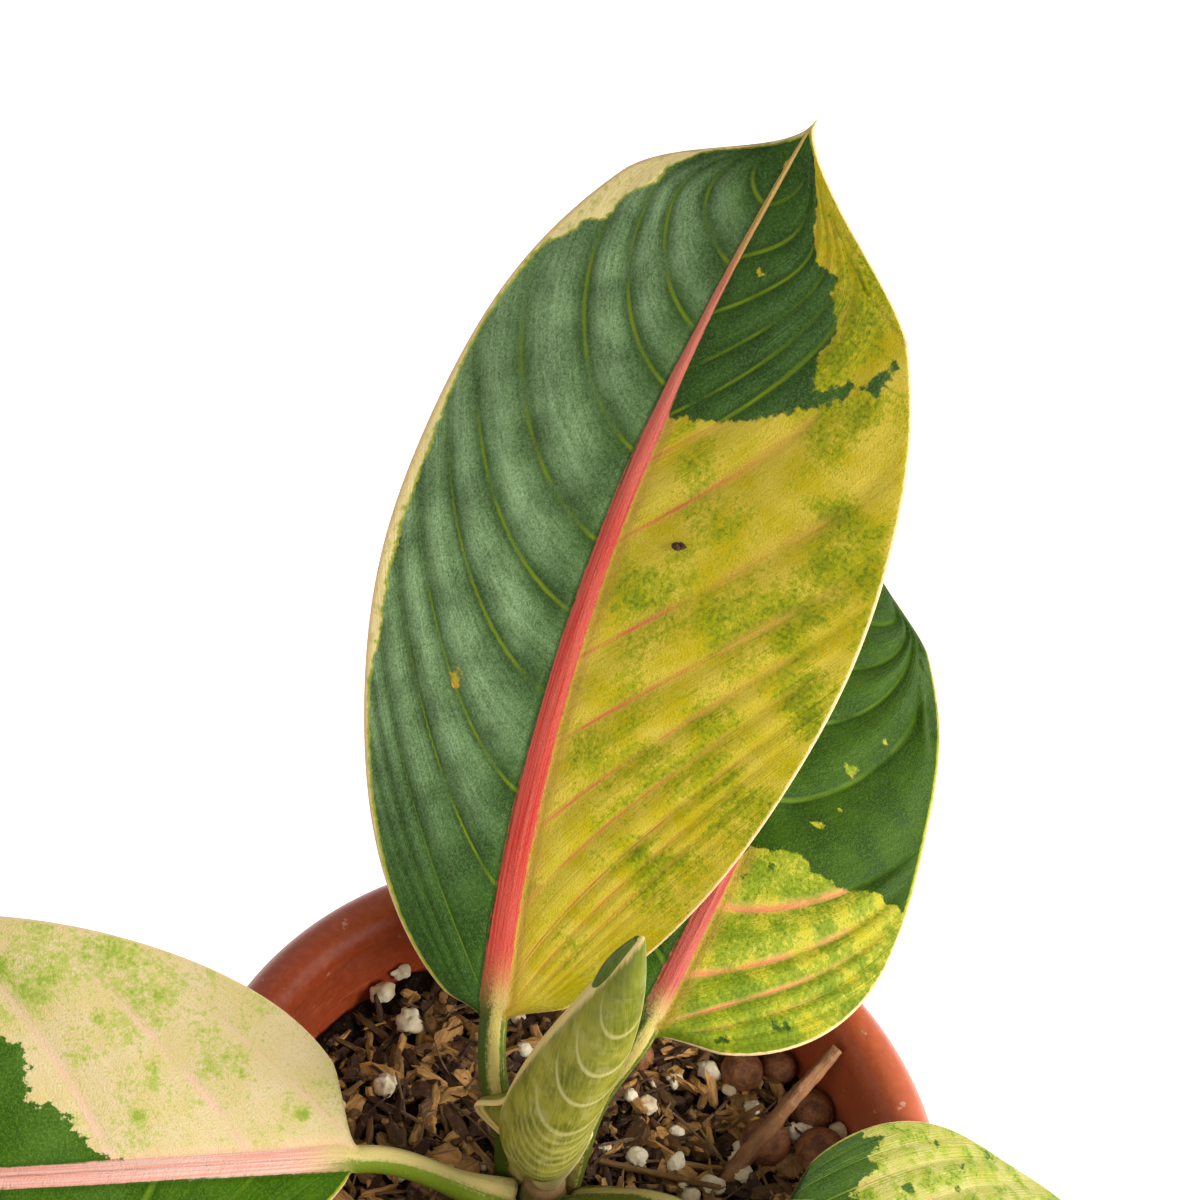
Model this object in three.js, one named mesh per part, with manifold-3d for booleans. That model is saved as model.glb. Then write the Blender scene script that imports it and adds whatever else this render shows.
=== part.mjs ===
// A Chinese evergreen in a small nursery pot: five open leaves, one rolled new leaf, their cane,
// the potting mix and a dry twig. Millimetres, +Z up, the plant seen from the front along +Y.
// The origin is the middle of the pot's foot, on the surface that the pot stands on.
import * as THREE from "three";
import { mergeVertices } from "three/addons/utils/BufferGeometryUtils.js";
import Module from "manifold-3d";

// Driving dimensions of the pot
const RIM_RADIUS = 53; // a nursery pot of 106 mm
const POT_HEIGHT = 94.3;
const FOOT_RADIUS = 37.5;
const POT_WALL = 1.5;
const RIM_ROLL_WIDTH = 7.9; // across the rounded rim, from its outer edge to the inner wall
const RIM_ROLL_HEIGHT = 4.4;
const COLLAR_HEIGHT = 13;
const COLLAR_INSET = 0.6; // how far the collar's hem lies inside the rim's outer edge
const FOOT_RING_WIDTH = 6.5;
const FOOT_PAD_RADIUS = 12; // flat like the ring, so that the pot also rests in the middle
const FOOT_CHANNEL_DEPTH = 1.6; // the drain holes open into it
const FOOT_CHANNEL_SLOPE = 1.2; // width of its sloping sides
const FOOT_BEVEL = 0.8;
const POT_FLOOR_TOP = 4.5;
const POT_FLOOR_BEVEL = 2;
const DRAIN_HOLES = 6;
const DRAIN_HOLE_RADIUS = 3.2;
const DRAIN_CIRCLE_RADIUS = 21;
const POT_SIDES = 44;

// Driving dimensions of the potting mix
const GAP = 0.3; // between pieces that touch
const MIX_WALL_GAP = 0.5; // both walls are faceted, so their flats come closer than this
const MIX_LEVEL = 80.5; // mean height of the mix, about 14 mm below the rim
const MIX_LUMP = 1.1;
const MOUND_HEIGHT = 1.4; // the mix rises a little towards the cane
const MOUND_REACH = 13.4;
const MIX_SIDES = 28;
const MIX_RINGS = 6;
const CHIP_COUNT = 46;
const CHIP_LENGTH = [5, 11];
const CHIP_WIDTH = [1.8, 3.4];
const CHIP_THICKNESS = 2.2;
const CHIP_SLOPE = 22; // most degrees along a chip, either way
const CHIP_TILT = 35; // most degrees across a chip, either way
const CHIP_LIFT = 0.1;
const PERLITE_COUNT = 18;
const PERLITE_RADIUS = [1.5, 2.6];
const PERLITE_LIFT = 0.5;
const CLEAR_OF_WALL = 7.5; // between a scattered piece's middle and the pot
const CLEAR_OF_CANE = 8;
const SEED = 20;
// Baked clay balls: place across, place back, radius
const CLAY_BALLS = [
  [22.3, 28.2, 3.2],
  [33.2, 23.2, 3.5],
  [28, 16.4, 3.9],
  [34.5, 17.2, 4.2],
  [27.6, 30.6, 2.6],
  [6.9, 26.9, 2.5],
  [-21, -27.5, 3.4],
  [12.4, -31, 3.6],
  [33, -12, 3.3],
];

// Driving dimensions of the plant
const CANE_FOOT = [-2.8, -1, 48]; // deep in the mix
const CANE_RADIUS = 4.4;
const CANE_TOP = 87.5;
const CANE_DOME = 1.6;
const CANE_RINGS = 5;
const CANE_SWELLING = 0.35; // at each ring
const CANE_SIDES = 14;
const PETIOLE_RADIUS = 1.9;
const SHEATH_RADIUS = 2.9; // where a petiole clasps the cane
const SHEATH_SHARE = 0.45; // of the petiole's length, from its foot
const SHEATH_CLEARANCE = 0.6; // between a petiole's middle and the cane's side
const MIDRIB_TIP_RADIUS = 0.35;
const MIDRIB_TAPER = 0.8; // under 1 keeps the midrib stout for longer
const MIDRIB_RISE = 0.3; // how far it stands above the middle of the blade's thickness
const BLADE_THICKNESS = 0.9;
const MARGIN_THICKNESS = 0.65;
const BLADE_ROWS = 18;
const BLADE_COLUMNS = 4; // on each half
const TIP_DRAW = 1.2; // over 1 draws the tip out into a finer point
const WAVE_STAGGER = 0.37; // the right margin's waves lie this share of a wave off the left's
const PETIOLE_STEPS = 9;
const PETIOLE_SIDES = 7;

// Each open leaf. base is where blade and petiole meet. heading is a compass angle from +X towards
// +Y and rise an angle above level, both in degrees at the base and at the tip. bank tips the blade
// about its midrib. width is of the left and of the right half, full is how square each half's
// outline is, fold lifts both halves and curl bends them up towards the margin. foot is the
// compass angle and the height at which the petiole leaves the cane, and pull shapes the petiole: up
// and outward at its foot, and back along the midrib at the blade.
const LEAVES = {
  leaf_back: {
    base: [-14.5, 3.7, 115],
    length: 129,
    heading: [98.5, 55.8],
    rise: [46, 55.2],
    bank: [-11.8, -3.8],
    width: [30.7, 36.7],
    widest: 0.56,
    point: 0.15,
    full: [0.63, 0.56],
    fold: 3.3,
    curl: -11.9,
    wave: 0.7,
    waves: 3,
    foot: [150, 83],
    pull: [12, 1, 12],
  },
  leaf_back_right: {
    base: [6, 9.3, 113.7],
    length: 106,
    heading: [76.5, 78],
    rise: [1.7, -12.7],
    bank: [11.3, 17.2],
    width: [29, 27.1],
    widest: 0.31,
    point: 0.1,
    full: [0.52, 0.51],
    fold: 3,
    curl: -16.5,
    wave: 0.6,
    waves: 2.5,
    foot: [62, 81],
    pull: [24, 1, 5],
  },
  leaf_left: {
    base: [-27.7, -11.5, 100.4],
    length: 117,
    heading: [205.5, 183],
    rise: [10.8, -20.6],
    bank: [-21.6, -18],
    width: [31.8, 35.9],
    widest: 0.58,
    point: 0.16,
    full: [0.91, 0.43],
    fold: 9.3,
    curl: -6.3,
    wave: 0.6,
    waves: 2.5,
    foot: [205, 84],
    pull: [5, 8, 8],
  },
  leaf_right: {
    base: [27.2, -11.4, 104.5],
    length: 92,
    heading: [-11, 0],
    rise: [-1, -37.5],
    bank: [-4.5, -30.5],
    width: [33.3, 31],
    widest: 0.32,
    point: 0.16,
    full: [0.5, 0.5],
    fold: 4.7,
    curl: -13.7,
    wave: 0.7,
    waves: 2.5,
    foot: [-68, 80],
    pull: [3, 7, 10],
  },
  leaf_front_right: {
    base: [19.5, -16.5, 110],
    length: 112,
    heading: [-38, -52],
    rise: [14, -16],
    bank: [-9, -11],
    width: [29.5, 32],
    widest: 0.48,
    point: 0.16,
    full: [0.47, 0.5],
    fold: 7,
    curl: -11,
    wave: 0.8,
    waves: 2.5,
    foot: [-12, 84],
    pull: [7, 6, 9],
  },
};

// The rolled new leaf: a short petiole on top of the cane, and a blade wound round its own axis
const ROLL_FOOT = [-3.6, -4.6, 93];
const ROLL_TIP = [1.5, -11, 160.2];
const ROLL_BOW = -2.6; // the axis is bowed to the left, most at ROLL_BOW_SHARE
const ROLL_BOW_SHARE = 0.25;
const ROLL_RADIUS = 6;
const ROLL_FULLEST = 0.21;
const ROLL_NARROWING = 0.93; // of the radius, from the fullest place to either end
const ROLL_SHOULDER = 2.3; // over 2 keeps the roll fuller towards its tip
const ROLL_FRONT_TURN = 190; // degrees from the midrib round the front to the free margin
const ROLL_BACK_TURN = 160; // degrees from the midrib round the back to the other margin
const ROLL_RIB = 0.7;
const ROLL_RIB_SPREAD = 16; // degrees
const ROLL_FLAP = 5; // how far the back margin stands out low on the left
const ROLL_FLAP_SHARE = 0.12;
const ROLL_FLAP_SPREAD = 0.07;
const ROLL_FLAP_TURN = 60; // degrees over which the margin bends out
const ROLL_THICKNESS = 0.7;
const ROLL_ROWS = 16;
const ROLL_COLUMNS = 22;
const ROLL_STALK_RADII = [2.6, 2, 1.7, 0.9]; // from the cane to inside the midrib

// The dry twig, from the mix up to the inside of the rim
const TWIG = [
  [20.6, 7, 77.5],
  [27.4, 17.2, 86],
  [34.5, 27.9, 92.4],
];
const TWIG_RADIUS = [1.5, 0.95];
const TWIG_SIDES = 7;
const TWIG_STEPS = 8;

const POT_COLOUR = 0xa8522f;
const MIX_COLOUR = 0x4a3322;
const CANE_COLOUR = 0x6f8a45;
const TWIG_COLOUR = 0x7a5236;
const LEAF_COLOURS = {
  leaf_back: 0x3f6b3a,
  leaf_back_right: 0x36603a,
  leaf_left: 0xc3c98a,
  leaf_right: 0xa9bf5c,
  leaf_front_right: 0x4f7f3c,
  leaf_new: 0x8ba258,
};

const wasm = await Module();
wasm.setup();

const { degToRad, lerp, smoothstep } = THREE.MathUtils;
const vector = (point) => new THREE.Vector3(...point);

// A closed triangle mesh from a list of points and a list of index triples
function closedGeometry(points, triangles) {
  const geometry = new THREE.BufferGeometry();
  geometry.setAttribute(
    "position",
    new THREE.Float32BufferAttribute(points.flatMap((p) => [p.x, p.y, p.z]), 3),
  );
  geometry.setIndex(triangles.flat());
  return geometry;
}

function solid(geometry) {
  const bare = geometry.clone();
  bare.deleteAttribute("normal");
  bare.deleteAttribute("uv");
  const merged = mergeVertices(bare, 1e-4);
  return new wasm.Manifold(
    new wasm.Mesh({
      numProp: 3,
      vertProperties: new Float32Array(merged.attributes.position.array),
      triVerts: new Uint32Array(merged.index.array),
    }),
  );
}

function meshOf(name, shape, colour, roughness) {
  const data = shape.getMesh();
  const geometry = new THREE.BufferGeometry();
  geometry.setAttribute("position", new THREE.BufferAttribute(data.vertProperties, 3));
  geometry.setIndex(new THREE.BufferAttribute(data.triVerts, 1));
  geometry.computeVertexNormals();
  const material = new THREE.MeshStandardMaterial({ color: colour, roughness, metalness: 0 });
  const mesh = new THREE.Mesh(geometry, material);
  mesh.name = name;
  return mesh;
}

// Pieces joined one by one into a body
const joined = (body, pieces) => pieces.reduce((sum, piece) => sum.add(piece), body);

// The largest closed surface alone: hollows that a join has sealed are filled, scraps are dropped
function whole(shape) {
  return shape.decompose().reduce((best, one) => (one.volume() > best.volume() ? one : best));
}

// A repeatable run of numbers between 0 and 1
function dice(seed) {
  let state = seed;
  return () => {
    state = (state * 1664525 + 1013904223) % 4294967296;
    return state / 4294967296;
  };
}

// A lathe about +Z from radius and height pairs that start and end on the axis
function turned(profile, sides) {
  const points = profile.map(([radius, height]) => new THREE.Vector2(radius, height));
  return new THREE.LatheGeometry(points, sides).rotateX(Math.PI / 2);
}

// Unit vector from a compass heading and a rise, in degrees
function direction(heading, rise) {
  const h = degToRad(heading);
  const e = degToRad(rise);
  return new THREE.Vector3(
    Math.cos(e) * Math.cos(h),
    Math.cos(e) * Math.sin(h),
    Math.sin(e),
  );
}

// Radius of the pot's inner wall at a height
function innerRadius(height) {
  const top = POT_HEIGHT - RIM_ROLL_HEIGHT;
  const topRadius = RIM_RADIUS - RIM_ROLL_WIDTH;
  const floorRadius = FOOT_RADIUS - POT_WALL;
  return lerp(floorRadius, topRadius, height / top);
}

// Points on the half ellipse over the rim, from the outer edge to the inner wall or back
function rimArc(inset, steps, from, to) {
  const halfWidth = RIM_ROLL_WIDTH / 2 - inset;
  const middle = RIM_RADIUS - RIM_ROLL_WIDTH / 2;
  const springing = POT_HEIGHT - RIM_ROLL_HEIGHT;
  return Array.from({ length: steps + 1 }, (_, i) => {
    const angle = degToRad(lerp(from, to, i / steps));
    return [
      middle + halfWidth * Math.cos(angle),
      springing + (RIM_ROLL_HEIGHT - inset) * Math.sin(angle),
    ];
  });
}

function makePot() {
  const hem = POT_HEIGHT - COLLAR_HEIGHT;
  const hemRadius = RIM_RADIUS - COLLAR_INSET;
  const wallMiddle = POT_WALL / 2;
  const profile = [
    [0, 0],
    [FOOT_PAD_RADIUS, 0],
    [FOOT_PAD_RADIUS + FOOT_CHANNEL_SLOPE, FOOT_CHANNEL_DEPTH],
    [FOOT_RADIUS - FOOT_RING_WIDTH - FOOT_CHANNEL_SLOPE, FOOT_CHANNEL_DEPTH],
    [FOOT_RADIUS - FOOT_RING_WIDTH, 0],
    [FOOT_RADIUS - FOOT_BEVEL, 0],
    [FOOT_RADIUS, FOOT_BEVEL],
    [innerRadius(hem) + POT_WALL, hem],
    ...rimArc(POT_WALL, 4, 165, 15),
    [hemRadius - POT_WALL, hem + wallMiddle],
    [hemRadius - wallMiddle, hem],
    [hemRadius, hem + wallMiddle],
    ...rimArc(0, 8, 0, 180),
    [innerRadius(MIX_LEVEL), MIX_LEVEL],
    [innerRadius(POT_FLOOR_TOP + POT_FLOOR_BEVEL), POT_FLOOR_TOP + POT_FLOOR_BEVEL],
    [innerRadius(POT_FLOOR_TOP) - POT_FLOOR_BEVEL, POT_FLOOR_TOP],
    [0, POT_FLOOR_TOP],
  ];
  const hole = new THREE.CylinderGeometry(DRAIN_HOLE_RADIUS, DRAIN_HOLE_RADIUS, 12, 12);
  hole.rotateX(Math.PI / 2);
  let pot = solid(turned(profile, POT_SIDES));
  for (let i = 0; i < DRAIN_HOLES; i += 1) {
    const angle = (2 * Math.PI * i) / DRAIN_HOLES;
    const x = DRAIN_CIRCLE_RADIUS * Math.cos(angle);
    const y = DRAIN_CIRCLE_RADIUS * Math.sin(angle);
    pot = pot.subtract(solid(hole.clone().translate(x, y, POT_FLOOR_TOP / 2)));
  }
  return pot;
}

// Height of the mix: low waves, and a slight rise towards the cane
function mixHeight(x, y) {
  const waves = Math.sin(x * 0.31 + 1) * Math.cos(y * 0.27) + Math.sin(x * 0.13 - y * 0.19);
  const fromCane = Math.hypot(x - CANE_FOOT[0], y - CANE_FOOT[1]);
  const mound = MOUND_HEIGHT * Math.exp(-((fromCane / MOUND_REACH) ** 2));
  return MIX_LEVEL + (MIX_LUMP / 2) * waves + mound;
}

// The mix as rings of points: a lumpy top, the pot's inner wall less the gap, and a flat floor
function makeMixBody() {
  const points = [];
  const rings = [];
  const addRing = (radius, heightAt) => {
    const ring = [];
    for (let i = 0; i < MIX_SIDES; i += 1) {
      const angle = (2 * Math.PI * i) / MIX_SIDES;
      const x = radius * Math.cos(angle);
      const y = radius * Math.sin(angle);
      ring.push(points.length);
      points.push(new THREE.Vector3(x, y, heightAt(x, y)));
    }
    rings.push(ring);
  };
  const topRadius = innerRadius(MIX_LEVEL - MIX_LUMP) - MIX_WALL_GAP;
  const bevelTop = POT_FLOOR_TOP + POT_FLOOR_BEVEL;
  const floorHeight = POT_FLOOR_TOP + GAP;
  for (let i = 1; i <= MIX_RINGS; i += 1) {
    addRing((topRadius * i) / MIX_RINGS, mixHeight);
  }
  addRing(innerRadius(bevelTop) - MIX_WALL_GAP, () => bevelTop + MIX_WALL_GAP);
  addRing(innerRadius(POT_FLOOR_TOP) - POT_FLOOR_BEVEL - MIX_WALL_GAP, () => floorHeight);
  const triangles = [];
  const top = points.push(new THREE.Vector3(0, 0, mixHeight(0, 0))) - 1;
  const bottom = points.push(new THREE.Vector3(0, 0, floorHeight)) - 1;
  for (let i = 0; i < MIX_SIDES; i += 1) {
    const j = (i + 1) % MIX_SIDES;
    triangles.push([top, rings[0][i], rings[0][j]]);
    for (let k = 0; k < rings.length - 1; k += 1) {
      triangles.push([rings[k][i], rings[k + 1][i], rings[k + 1][j]]);
      triangles.push([rings[k][i], rings[k + 1][j], rings[k][j]]);
    }
    const last = rings[rings.length - 1];
    triangles.push([bottom, last[j], last[i]]);
  }
  return solid(closedGeometry(points, triangles));
}

// A flat sliver of bark, half sunk in the mix
function barkChip(roll) {
  const length = lerp(...CHIP_LENGTH, roll());
  const width = lerp(...CHIP_WIDTH, roll());
  const chip = new THREE.BoxGeometry(length, width, CHIP_THICKNESS);
  const pitch = degToRad(lerp(-CHIP_SLOPE, CHIP_SLOPE, roll()));
  const tilt = degToRad(lerp(-CHIP_TILT, CHIP_TILT, roll()));
  const turn = Math.PI * roll();
  return chip.rotateX(tilt).rotateY(pitch).rotateZ(turn);
}

function perliteGrain(roll) {
  const grain = new THREE.IcosahedronGeometry(lerp(...PERLITE_RADIUS, roll()), 0);
  return grain.scale(1, lerp(0.7, 1, roll()), 0.8).rotateZ(Math.PI * roll());
}

// Scattered pieces keep clear of the pot's wall, the cane's hole and each other's middles
function scattered(count, makePiece, roll, lift) {
  const pieces = [];
  const reach = innerRadius(MIX_LEVEL) - CLEAR_OF_WALL;
  while (pieces.length < count) {
    const radius = reach * Math.sqrt(roll());
    const angle = 2 * Math.PI * roll();
    const x = radius * Math.cos(angle);
    const y = radius * Math.sin(angle);
    const fromCane = Math.hypot(x - CANE_FOOT[0], y - CANE_FOOT[1]);
    if (fromCane < CANE_RADIUS + CLEAR_OF_CANE) continue;
    pieces.push(solid(makePiece(roll).translate(x, y, mixHeight(x, y) + lift)));
  }
  return pieces;
}

function makeMix() {
  const roll = dice(SEED);
  const chips = scattered(CHIP_COUNT, barkChip, roll, CHIP_LIFT);
  const perlite = scattered(PERLITE_COUNT, perliteGrain, roll, PERLITE_LIFT);
  const balls = CLAY_BALLS.map(([x, y, radius]) =>
    solid(
      new THREE.IcosahedronGeometry(radius, 1).translate(x, y, mixHeight(x, y) + radius * 0.3),
    ),
  );
  return joined(makeMixBody(), [...chips, ...perlite, ...balls]);
}

// The cane: a turned stem with a low swelling at each old leaf scar
function makeCane(grow) {
  const [x, y, foot] = CANE_FOOT;
  const length = CANE_TOP - foot;
  const profile = [[0, foot - grow]];
  const steps = CANE_RINGS * 4;
  for (let i = 0; i <= steps; i += 1) {
    const swelling = CANE_SWELLING * Math.cos((2 * Math.PI * i) / 4);
    profile.push([CANE_RADIUS + swelling + grow, foot + (length * i) / steps]);
  }
  profile[1][1] -= grow;
  profile.push([CANE_RADIUS * 0.55 + grow, CANE_TOP + CANE_DOME * 0.75 + grow]);
  profile.push([0, CANE_TOP + CANE_DOME + grow]);
  return solid(turned(profile, CANE_SIDES).translate(x, y, 0));
}

// A closed tube through the points. Its sides keep their direction from one ring to the next.
function tube(points, radii, side, sides) {
  const ringPoints = [];
  const across = side.clone();
  points.forEach((point, i) => {
    const before = points[Math.max(i - 1, 0)];
    const after = points[Math.min(i + 1, points.length - 1)];
    const along = after.clone().sub(before).normalize();
    across.addScaledVector(along, -across.dot(along)).normalize();
    const up = along.clone().cross(across);
    for (let k = 0; k < sides; k += 1) {
      const angle = (2 * Math.PI * k) / sides;
      ringPoints.push(
        point
          .clone()
          .addScaledVector(across, radii[i] * Math.cos(angle))
          .addScaledVector(up, radii[i] * Math.sin(angle)),
      );
    }
  });
  const first = ringPoints.push(points[0].clone()) - 1;
  const last = ringPoints.push(points[points.length - 1].clone()) - 1;
  const triangles = [];
  for (let k = 0; k < sides; k += 1) {
    const n = (k + 1) % sides;
    for (let i = 0; i < points.length - 1; i += 1) {
      const a = i * sides;
      const b = a + sides;
      triangles.push([a + k, a + n, b + n], [a + k, b + n, b + k]);
    }
    const end = (points.length - 1) * sides;
    triangles.push([first, n, k], [last, end + k, end + n]);
  }
  return solid(closedGeometry(ringPoints, triangles));
}

// The midrib and its frame. rows run from the base to the tip, closer together at both ends.
function midribFrames(leaf) {
  const frames = [];
  const point = vector(leaf.base);
  let before = 0;
  for (let i = 0; i <= BLADE_ROWS; i += 1) {
    const share = 0.5 - 0.5 * Math.cos((Math.PI * i) / BLADE_ROWS);
    const middle = (before + share) / 2;
    const step = direction(lerp(...leaf.heading, middle), lerp(...leaf.rise, middle));
    point.addScaledVector(step, leaf.length * (share - before));
    const along = direction(lerp(...leaf.heading, share), lerp(...leaf.rise, share));
    const level = new THREE.Vector3(0, 0, 1).cross(along).normalize();
    const normal = along.clone().cross(level);
    const bank = degToRad(lerp(...leaf.bank, share));
    const left = level.clone().multiplyScalar(Math.cos(bank));
    left.addScaledVector(normal, Math.sin(bank));
    const up = along.clone().cross(left);
    frames.push({ share, point: point.clone(), along, left, up });
    before = share;
  }
  return frames;
}

// Half width at a share of the length: an egg shape whose end is drawn out to a point
function halfWidth(leaf, half, share) {
  const { widest, point } = leaf;
  const x = share < widest ? (widest - share) / widest : (share - widest) / (1 - widest);
  const egg = Math.max(1 - x * x, 0) ** leaf.full[half];
  const taper = Math.sin((Math.min((1 - share) / point, 1) * Math.PI) / 2) ** TIP_DRAW;
  return leaf.width[half] * egg * taper;
}

// A point of the blade: across is -1 at the left margin and 1 at the right margin
function bladePoint(leaf, frame, across, offset) {
  const half = across < 0 ? 0 : 1;
  const out = Math.abs(across);
  const reach = halfWidth(leaf, half, frame.share) * out;
  const angle = degToRad(leaf.fold + (leaf.curl * out) / 2);
  const ripple =
    leaf.wave *
    out ** 2 *
    Math.sin(2 * Math.PI * (leaf.waves * frame.share + WAVE_STAGGER * half)) *
    Math.sin(Math.PI * frame.share);
  return frame.point
    .clone()
    .addScaledVector(frame.left, -Math.sign(across) * reach * Math.cos(angle))
    .addScaledVector(frame.up, reach * Math.sin(angle) + ripple + offset);
}

// Both faces of a blade on one grid, each quad split the same way above and below
function makeBlade(leaf, frames) {
  const columns = 2 * BLADE_COLUMNS;
  const points = [];
  const grids = [1, -1].map((face) =>
    frames.map((frame, i) => {
      const atEnd = i === 0 || i === frames.length - 1;
      const row = [];
      for (let j = 0; j <= columns; j += 1) {
        if (atEnd && j > 0) {
          row.push(row[0]);
          continue;
        }
        const across = atEnd ? 0 : j / BLADE_COLUMNS - 1;
        const thickness = lerp(BLADE_THICKNESS, MARGIN_THICKNESS, Math.abs(across));
        row.push(points.push(bladePoint(leaf, frame, across, (face * thickness) / 2)) - 1);
      }
      return row;
    }),
  );
  const triangles = [];
  const add = (a, b, c) => {
    if (a !== b && b !== c && c !== a) triangles.push([a, b, c]);
  };
  const [top, bottom] = grids;
  for (let i = 0; i < frames.length - 1; i += 1) {
    for (let j = 0; j < columns; j += 1) {
      add(top[i][j], top[i][j + 1], top[i + 1][j + 1]);
      add(top[i][j], top[i + 1][j + 1], top[i + 1][j]);
      add(bottom[i][j], bottom[i + 1][j + 1], bottom[i][j + 1]);
      add(bottom[i][j], bottom[i + 1][j], bottom[i + 1][j + 1]);
    }
    add(top[i][0], top[i + 1][0], bottom[i + 1][0]);
    add(top[i][0], bottom[i + 1][0], bottom[i][0]);
    add(top[i][columns], bottom[i + 1][columns], top[i + 1][columns]);
    add(top[i][columns], bottom[i][columns], bottom[i + 1][columns]);
  }
  return solid(closedGeometry(points, triangles));
}

// Radius of the midrib at a share of the blade's length
const midribRadius = (share) =>
  lerp(MIDRIB_TIP_RADIUS, PETIOLE_RADIUS, (1 - share) ** MIDRIB_TAPER);

// Petiole and midrib as one tapering tube. It clasps the cane at its foot, and under the blade it
// lies flush with the upper face.
function makeStalk(leaf, frames, grow) {
  const [heading, height] = leaf.foot;
  const outward = direction(heading, 0);
  const foot = vector([CANE_FOOT[0], CANE_FOOT[1], height]);
  foot.addScaledVector(outward, CANE_RADIUS + SHEATH_CLEARANCE);
  const sunk = (frame) =>
    frame.point.clone().addScaledVector(frame.up, MIDRIB_RISE - midribRadius(frame.share));
  const base = sunk(frames[0]);
  const [upward, spread, back] = leaf.pull;
  const curve = new THREE.CubicBezierCurve3(
    foot,
    foot.clone().add(new THREE.Vector3(0, 0, upward)).addScaledVector(outward, spread),
    base.clone().addScaledVector(frames[0].along, -back),
    base,
  );
  const points = curve.getPoints(PETIOLE_STEPS);
  const radii = points.map((_, i) => {
    const clasp = 1 - smoothstep(i / PETIOLE_STEPS, 0, SHEATH_SHARE);
    return lerp(PETIOLE_RADIUS, SHEATH_RADIUS, clasp) + grow;
  });
  for (const frame of frames.slice(1, -1)) {
    points.push(sunk(frame));
    radii.push(midribRadius(frame.share) + grow);
  }
  return tube(points, radii, frames[0].left, PETIOLE_SIDES);
}

// A point of the rolled blade. turn is negative round the back to the one margin, and positive
// round the front to the other; the midrib, where turn is 0, faces +X.
function rollPoint(share, turn, offset) {
  const foot = vector(ROLL_FOOT);
  const tip = vector(ROLL_TIP);
  const along = tip.clone().sub(foot).normalize();
  const right = new THREE.Vector3(1, 0, 0);
  right.addScaledVector(along, -right.dot(along)).normalize();
  const back = along.clone().cross(right);
  const centre = foot.lerp(tip, share);
  const bowMost = ROLL_BOW_SHARE * (1 - ROLL_BOW_SHARE) ** 3;
  centre.x += (ROLL_BOW * share * (1 - share) ** 3) / bowMost;
  const low = Math.max(ROLL_FULLEST - share, 0) / ROLL_FULLEST;
  const high = Math.max(share - ROLL_FULLEST, 0) / (1 - ROLL_FULLEST);
  const roundEnd = Math.sqrt(1 - ROLL_NARROWING * low ** 2);
  const swell = roundEnd * (1 - ROLL_NARROWING * high ** ROLL_SHOULDER);
  const rib = ROLL_RIB * Math.exp(-((turn / ROLL_RIB_SPREAD) ** 2)) * (1 - share);
  const flap = ROLL_FLAP * Math.exp(-(((share - ROLL_FLAP_SHARE) / ROLL_FLAP_SPREAD) ** 2));
  const bend = smoothstep(-turn, ROLL_BACK_TURN - ROLL_FLAP_TURN, ROLL_BACK_TURN);
  const radius = ROLL_RADIUS * swell + rib + flap * bend + offset;
  const angle = degToRad(-turn);
  return centre
    .addScaledVector(right, radius * Math.cos(angle))
    .addScaledVector(back, radius * Math.sin(angle));
}

function makeRolledLeaf() {
  const points = [];
  const grids = [0.5, -0.5].map((face) =>
    Array.from({ length: ROLL_ROWS + 1 }, (_, i) =>
      Array.from({ length: ROLL_COLUMNS + 1 }, (__, j) => {
        const turn = lerp(-ROLL_BACK_TURN, ROLL_FRONT_TURN, j / ROLL_COLUMNS);
        return points.push(rollPoint(i / ROLL_ROWS, turn, face * ROLL_THICKNESS)) - 1;
      }),
    ),
  );
  const [outer, inner] = grids;
  const triangles = [];
  const quad = (a, b, c, d) => triangles.push([a, b, c], [a, c, d]);
  for (let i = 0; i < ROLL_ROWS; i += 1) {
    for (let j = 0; j < ROLL_COLUMNS; j += 1) {
      quad(outer[i][j + 1], outer[i][j], outer[i + 1][j], outer[i + 1][j + 1]);
      quad(inner[i][j], inner[i][j + 1], inner[i + 1][j + 1], inner[i + 1][j]);
    }
    quad(outer[i][0], inner[i][0], inner[i + 1][0], outer[i + 1][0]);
    const m = ROLL_COLUMNS;
    quad(inner[i][m], outer[i][m], outer[i + 1][m], inner[i + 1][m]);
  }
  for (let j = 0; j < ROLL_COLUMNS; j += 1) {
    quad(outer[0][j], outer[0][j + 1], inner[0][j + 1], inner[0][j]);
    const n = ROLL_ROWS;
    quad(outer[n][j + 1], outer[n][j], inner[n][j], inner[n][j + 1]);
  }
  const blade = solid(closedGeometry(points, triangles));
  const foot = new THREE.Vector3(CANE_FOOT[0], CANE_FOOT[1], CANE_TOP + CANE_DOME + GAP);
  const neck = rollPoint(ROLL_FLAP_SHARE / 2, 0, -ROLL_STALK_RADII[2]);
  const end = rollPoint(ROLL_FULLEST, 0, -ROLL_THICKNESS);
  const stalkPoints = [foot, foot.clone().lerp(neck, 0.5), neck, end];
  const stalk = tube(stalkPoints, ROLL_STALK_RADII, new THREE.Vector3(1, 0, 0), PETIOLE_SIDES);
  return blade.add(stalk);
}

function makeTwig(grow) {
  const points = new THREE.CatmullRomCurve3(TWIG.map(vector)).getPoints(TWIG_STEPS);
  const radii = points.map((_, i) => lerp(...TWIG_RADIUS, i / TWIG_STEPS) + grow);
  return tube(points, radii, new THREE.Vector3(0, 0, 1), TWIG_SIDES);
}

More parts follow.
